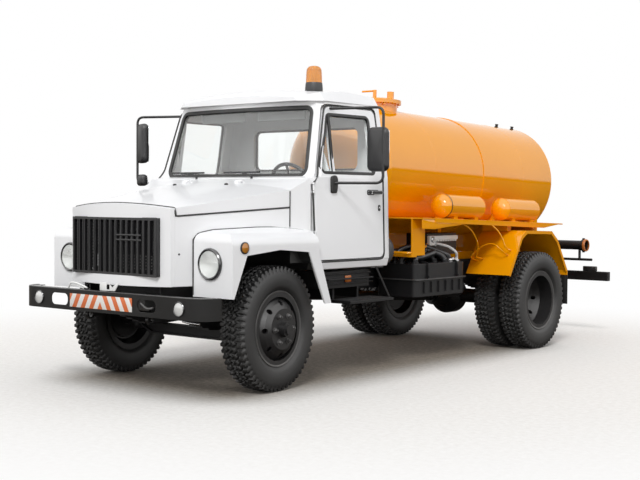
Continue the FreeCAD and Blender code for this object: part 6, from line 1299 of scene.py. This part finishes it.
step_ledges = [boxed((0.8500, 0.645, 0.858), (0.872, 1.235, 0.866), 0.003),
               boxed((0.8500, 0.645, 0.786), (0.8985, 1.235, 0.790), 0.0015)]
treads = [boxed((x, 0.880, 0.6400), (x + 0.006, 1.440, 0.6435), 0.0012) for x in np.arange(0.720, 0.940, 0.022)]
keep("step_ridges", both(step_ledges + treads), CHASSIS_BLACK, "chassis")
marker = boxed((0.8505, 0.905, 0.792), (0.860, 0.985, 0.846), 0.004)
keep("side_reflectors", both([marker]), ORANGE_REFLECTOR, "chassis")

SUCTION_X, SUCTION_Y, SUCTION_Z, LUG_LIFT = 0.872, 5.130, 0.985, 0.068
COUPLING = [(0.052, 0.0), (0.066, 0.0), (0.067, 0.006), (0.067, 0.020), (0.064, 0.026), (0.052, 0.026)]
keep("suction_coupling", turned(COUPLING, (SUCTION_X, SUCTION_Y, SUCTION_Z), X, 48), COUPLING_ORANGE, "chassis")
lugs = [boxed((0.846, SUCTION_Y - 0.012, SUCTION_Z + lift - 0.010),
              (SUCTION_X, SUCTION_Y + 0.012, SUCTION_Z + lift + 0.010), 0.004) for lift in (LUG_LIFT, -LUG_LIFT)]
keep("suction_lugs", lugs, CHASSIS_BLACK, "chassis")

FLAP_PITCH, FLAP_RIB = 0.058, 0.012
flap_ribs = []
for sign in SIDES.values():
    for x in np.arange(0.660, 1.08, FLAP_PITCH):
        low_x, high_x = sorted((sign * x, sign * (x + FLAP_RIB)))
        flap_ribs.append(boxed((low_x, 4.2975, 0.430), (high_x, 4.3012, 0.700), 0.001))
keep("flap_ribs", flap_ribs, SOFT_RUBBER, "chassis")


# Seats, made as padded covers

SEAT_MARGIN, CUSHION_Y, CUSHION_Z, BACK_Y, BACK_Z, BACK_LEAN = 0.028, 0.988, 1.136, 1.256, 1.478, math.radians(8.0)
EVEN_MESH, AIR_PRESSURE, COVER_TENSION, AIR_FRAMES = 0.011, 4.0, 18.0, 20
CUSHION_CAP, BACK_CAP, NO_STEP = 0.016, 0.018, 1e-9


def cushion_form(x, half):
    """A block with round corners and edges, a little smaller than the solid cushion."""
    outline = even_steps(rounded_rectangle(2 * half - SEAT_MARGIN, 0.436, 0.060, 6), 0.02)
    return slab(outline, (x, CUSHION_Y, CUSHION_Z), X, Y, 0.112, 0.034)


def back_form(x, half):
    """The same for the back, which leans rearwards."""
    outline = even_steps(rounded_rectangle(2 * half - SEAT_MARGIN, 0.402, 0.075, 6), 0.02)
    return slab(outline, (x, BACK_Y, BACK_Z), X, (0.0, math.sin(BACK_LEAN), math.cos(BACK_LEAN)), 0.104, 0.032)


def as_modified(piece):
    """The piece's mesh as its modifiers leave it."""
    return bpy.data.meshes.new_from_object(piece.evaluated_get(bpy.context.evaluated_depsgraph_get()))


def corner_places(mesh):
    """The mesh's points as a table."""
    places = np.empty(len(mesh.vertices) * 3, np.float32)
    mesh.vertices.foreach_get("co", places)
    return places.reshape(-1, 3)


def blown_up(name, part, cap):
    """Fills a cover with air: the closed form is meshed evenly, pushed out by an even pressure for some frames,
    and no point moves further than the cap."""
    points, faces = part
    piece = bpy.data.objects.new(name, mesh_of(points + AXLE_SHIFT, faces))
    bpy.context.scene.collection.objects.link(piece)
    even = piece.modifiers.new("even mesh", "REMESH")
    even.mode = "VOXEL"
    even.voxel_size = EVEN_MESH
    piece.data = as_modified(piece)
    piece.modifiers.clear()
    before = corner_places(piece.data)
    cover = piece.modifiers.new("cover", "CLOTH")
    cover.settings.use_pressure = True
    cover.settings.uniform_pressure_force = AIR_PRESSURE
    cover.settings.effector_weights.gravity = 0.0
    cover.settings.tension_stiffness = COVER_TENSION
    cover.point_cache.frame_start, cover.point_cache.frame_end = 1, AIR_FRAMES
    scene = bpy.context.scene
    for frame_number in range(1, AIR_FRAMES + 1):
        scene.frame_set(frame_number)
    step = corner_places(as_modified(piece)) - before
    piece.modifiers.clear()
    scene.frame_set(1)
    length = np.linalg.norm(step, axis=1, keepdims=True)
    step *= np.minimum(1.0, cap / np.maximum(length, NO_STEP))
    piece.data.vertices.foreach_set("co", (before + step).reshape(-1))
    piece.data.polygons.foreach_set("use_smooth", np.ones(len(piece.data.polygons), bool))
    piece.data.materials.clear()
    piece.data.materials.append(SEAT_VINYL)
    finer = piece.modifiers.new("finer", "SUBSURF")
    finer.levels = finer.render_levels = 1
    attach(piece, "chassis", "seats")


SEATS = {"driver_seat": (0.480, 0.240), "bench_seat": (-0.400, 0.400)}
seams = []
for name, (x, half) in SEATS.items():
    blown_up(name + "_cushion", cushion_form(x, half), CUSHION_CAP)
    blown_up(name + "_back", back_form(x, half), BACK_CAP)
    edge = rounded_rectangle(2 * half - SEAT_MARGIN / 2, 0.450, 0.066, 8)
    edge = np.stack([edge[:, 0] + x, edge[:, 1] + CUSHION_Y, np.full(len(edge), 1.196)], -1)
    seams.append(swept(circle(0.0048, 8), even_steps(edge, 0.02), Z, closed=True))
    for y in (0.900, 1.000):
        seams.append(tube([(x - half + 0.050, y, 1.2530), (x, y, 1.2640), (x + half - 0.050, y, 1.2530)], 0.0032,
                          sides=8))
keep("seat_seams", seams, SOFT_RUBBER, "chassis")


# Inside the cab

DASH_Y = 0.634
dashboard_panels = [
    boxed((0.300, DASH_Y, 1.470), (0.660, 0.652, 1.552), 0.012),
    boxed((-0.620, DASH_Y, 1.440), (-0.180, 0.650, 1.545), 0.010),
    boxed((-0.080, DASH_Y, 1.420), (0.180, 0.650, 1.545), 0.008),
]
keep("dashboard_panels", dashboard_panels, CAB_LINING, "chassis")
DIAL = [(0.0, 0.0), (0.040, 0.0), (0.042, 0.004), (0.038, 0.010), (0.034, 0.006), (0.0, 0.005)]
keep("dials", [turned(DIAL, (x, 0.652, 1.512), Y, 36) for x in (0.410, 0.530)], BLACK_PLASTIC, "chassis")
visors = [boxed((x - 0.260, 0.700, 2.120), (x + 0.260, 0.716, 2.215), 0.012) for x in (-0.330, 0.330)]
keep("sun_visors", visors, CAB_LINING, "chassis")


# Floor, sky, sun and camera

GROUND_TONES = ((0.76, 0.73, 0.69, 1.0), (0.92, 0.90, 0.87, 1.0))
# Painted shadow on the ground under the truck: its dark tones, its rectangle's middle and half size, and how far it
# fades.
PAINTED_SHADOW_TONES = ((0.115, 0.095, 0.075, 1.0), (0.31, 0.27, 0.22, 1.0))
PAINTED_SHADOW_Y, PAINTED_SHADOW_HALF, PAINTED_SHADOW_FADE = 1.75, (0.65, 2.00, 0.0), 0.75
GROUND_LIT, GROUND_GLOSSY = (0.40, 0.375, 0.35, 1.0), (0.030, 0.022, 0.012, 1.0)
WHITE_FROM, WHITE_AT = 3.2, 6.6
SKY_TONE, SKY_LEVEL = (0.95, 0.97, 1.0, 1.0), 0.75
GLOSS_TONE, GLOSS_LEVEL, HORIZON_LEVEL = (1.0, 0.99, 0.98, 1.0), 2.9, 0.04
GLOSS_AHEAD, GLOSS_BEHIND_SHARE = (0.63, -0.77, 0.0), 0.36
WHITE = (1.0, 1.0, 1.0, 1.0)


def make_floor_finish():
    """Pale ground with a painted shadow under the truck, which turns into the white backdrop away from it: the painted
    shadow falls with the distance from a rectangle under the frame."""
    material, tree, shader = new_finish("pale ground", Roughness=0.95)
    place = object_place(tree)
    tone = ramp(tree, noise(tree, place, 22.0, 9.0, Roughness=0.78), 0.3, 0.7, 0.0, 1.0)
    path = add(tree, "LightPath").outputs
    seen = path["Is Camera Ray"]
    under = vector_sum(tree, "SUBTRACT", place, (0.0, PAINTED_SHADOW_Y + float(AXLE_SHIFT[1]), 0.0))
    under = vector_sum(tree, "SUBTRACT", vector_sum(tree, "ABSOLUTE", under), PAINTED_SHADOW_HALF)
    under = vector_sum(tree, "LENGTH", vector_sum(tree, "MAXIMUM", under, (0.0, 0.0, 0.0)))
    # The painted shadow: 1 over the rectangle under the frame, falling to 0 over the fade.
    painted_shadow = ramp(tree, under, 0.0, PAINTED_SHADOW_FADE, 1.0, 0.0, interpolation_type="SMOOTHSTEP")
    ground = blend(tree, painted_shadow, blend(tree, tone, *GROUND_TONES), blend(tree, tone, *PAINTED_SHADOW_TONES))
    lit = blend(tree, path["Is Glossy Ray"], GROUND_LIT, GROUND_GLOSSY)
    tree.links.new(blend(tree, seen, lit, ground), shader.inputs["Base Color"])
    away = vector_sum(tree, "LENGTH", place)
    far = ramp(tree, away, WHITE_FROM, WHITE_AT, 0.0, 1.0, interpolation_type="SMOOTHSTEP")
    white = add(tree, "Emission", {0: WHITE, 1: 1.0})
    mixed = add(tree, "MixShader", {0: summed(tree, "MULTIPLY", far, seen), 1: shader.outputs[0],
                                    2: white.outputs[0]})
    tree.links.new(mixed.outputs[0], tree.nodes["Material Output"].inputs[0])
    return material


def lay_floor():
    """A flat sheet on the ground: x and y run over a square, z is 0."""
    reach = np.linspace(-60.0, 60.0, 5)
    x, y = np.meshgrid(reach, reach)
    points, faces = grid(np.stack([x, y, np.zeros_like(x)], -1))
    mesh = bpy.data.meshes.new("ground")
    mesh.from_pydata(points.tolist(), [], faces.tolist())
    mesh.materials.append(make_floor_finish())
    ground = bpy.data.objects.new("ground", mesh)
    bpy.context.scene.collection.objects.link(ground)


def light_sky():
    """An even overcast sky for the object, plain white where the camera or glass sees past it, and for gloss a
    sky brighter than white paper ahead of the truck, dimmer behind it, that ends at a dull horizon."""
    world = bpy.data.worlds.new("overcast")
    world.use_nodes = True
    tree = world.node_tree
    tree.nodes.clear()
    path = add(tree, "LightPath").outputs
    seen = summed(tree, "ADD", path["Is Camera Ray"], path["Is Transmission Ray"], use_clamp=True)
    soft = add(tree, "Background", {0: SKY_TONE, 1: SKY_LEVEL})
    white = add(tree, "Background", {0: WHITE, 1: 1.0})
    direction = add(tree, "TexCoord").outputs["Generated"]
    rise = add(tree, "SeparateXYZ", {0: direction}).outputs[2]
    above = ramp(tree, rise, 0.0, 0.05, HORIZON_LEVEL, GLOSS_LEVEL, interpolation_type="SMOOTHSTEP")
    ahead = vector_sum(tree, "DOT_PRODUCT", direction, GLOSS_AHEAD)
    ahead = ramp(tree, ahead, -0.7, 0.3, GLOSS_BEHIND_SHARE, 1.0, interpolation_type="SMOOTHSTEP")
    gloss = add(tree, "Background", {0: GLOSS_TONE, 1: summed(tree, "MULTIPLY", above, ahead)})
    lit = add(tree, "MixShader", {0: path["Is Glossy Ray"], 1: soft.outputs[0], 2: gloss.outputs[0]})
    mixed = add(tree, "MixShader", {0: seen, 1: lit.outputs[0], 2: white.outputs[0]})
    tree.links.new(mixed.outputs[0], add(tree, "OutputWorld").inputs[0])
    bpy.context.scene.world = world


SUN_STRENGTH, SUN_SPREAD_DEG, SUN_AZIMUTH_DEG, SUN_ELEVATION_DEG = 1.55, 14.0, 30.0, 40.0


def light_sun():
    """A weak wide sun, high up ahead of the truck and to its left."""
    lamp = bpy.data.lights.new("sun", "SUN")
    lamp.energy = SUN_STRENGTH
    lamp.angle = math.radians(SUN_SPREAD_DEG)
    sun = bpy.data.objects.new("sun", lamp)
    bpy.context.scene.collection.objects.link(sun)
    azimuth, elevation = math.radians(SUN_AZIMUTH_DEG), math.radians(SUN_ELEVATION_DEG)
    towards = Vector((math.sin(azimuth) * math.cos(elevation), -math.cos(azimuth) * math.cos(elevation),
                      math.sin(elevation)))
    sun.rotation_euler = towards.to_track_quat("Z", "Y").to_euler()


CAMERA_PLACE = np.array([6.87328, -6.79488, 1.46781])
CAMERA_YAW_DEG = 39.2213
CAMERA_DOWN_DEG = 1.9483
CAMERA_ROLL_DEG = 0.3659
CAMERA_FOCAL_SHARE = 1194.168 / 640.0
SENSOR_WIDTH_MM = 36.0


def set_camera():
    """Stands where the photograph was taken from: a yaw to the left, a little down, and a slight roll."""
    yaw, down, roll = (math.radians(a) for a in (CAMERA_YAW_DEG, CAMERA_DOWN_DEG, CAMERA_ROLL_DEG))
    ahead = Vector((-math.sin(yaw) * math.cos(down), math.cos(yaw) * math.cos(down), -math.sin(down)))
    right = Vector((math.cos(yaw), math.sin(yaw), 0.0))
    up = right.cross(ahead)
    right, up = (right * math.cos(roll) + up * math.sin(roll), up * math.cos(roll) - right * math.sin(roll))
    turn = Matrix((right, up, -ahead)).transposed()
    lens = bpy.data.cameras.new("camera")
    lens.sensor_width = SENSOR_WIDTH_MM
    lens.lens = SENSOR_WIDTH_MM * CAMERA_FOCAL_SHARE
    camera = bpy.data.objects.new("camera", lens)
    camera.matrix_world = Matrix.Translation(Vector(CAMERA_PLACE + AXLE_SHIFT)) @ turn.to_4x4()
    bpy.context.scene.collection.objects.link(camera)
    bpy.context.scene.camera = camera


lay_floor()
light_sky()
light_sun()
set_camera()
bpy.context.scene.view_settings.view_transform = "Standard"
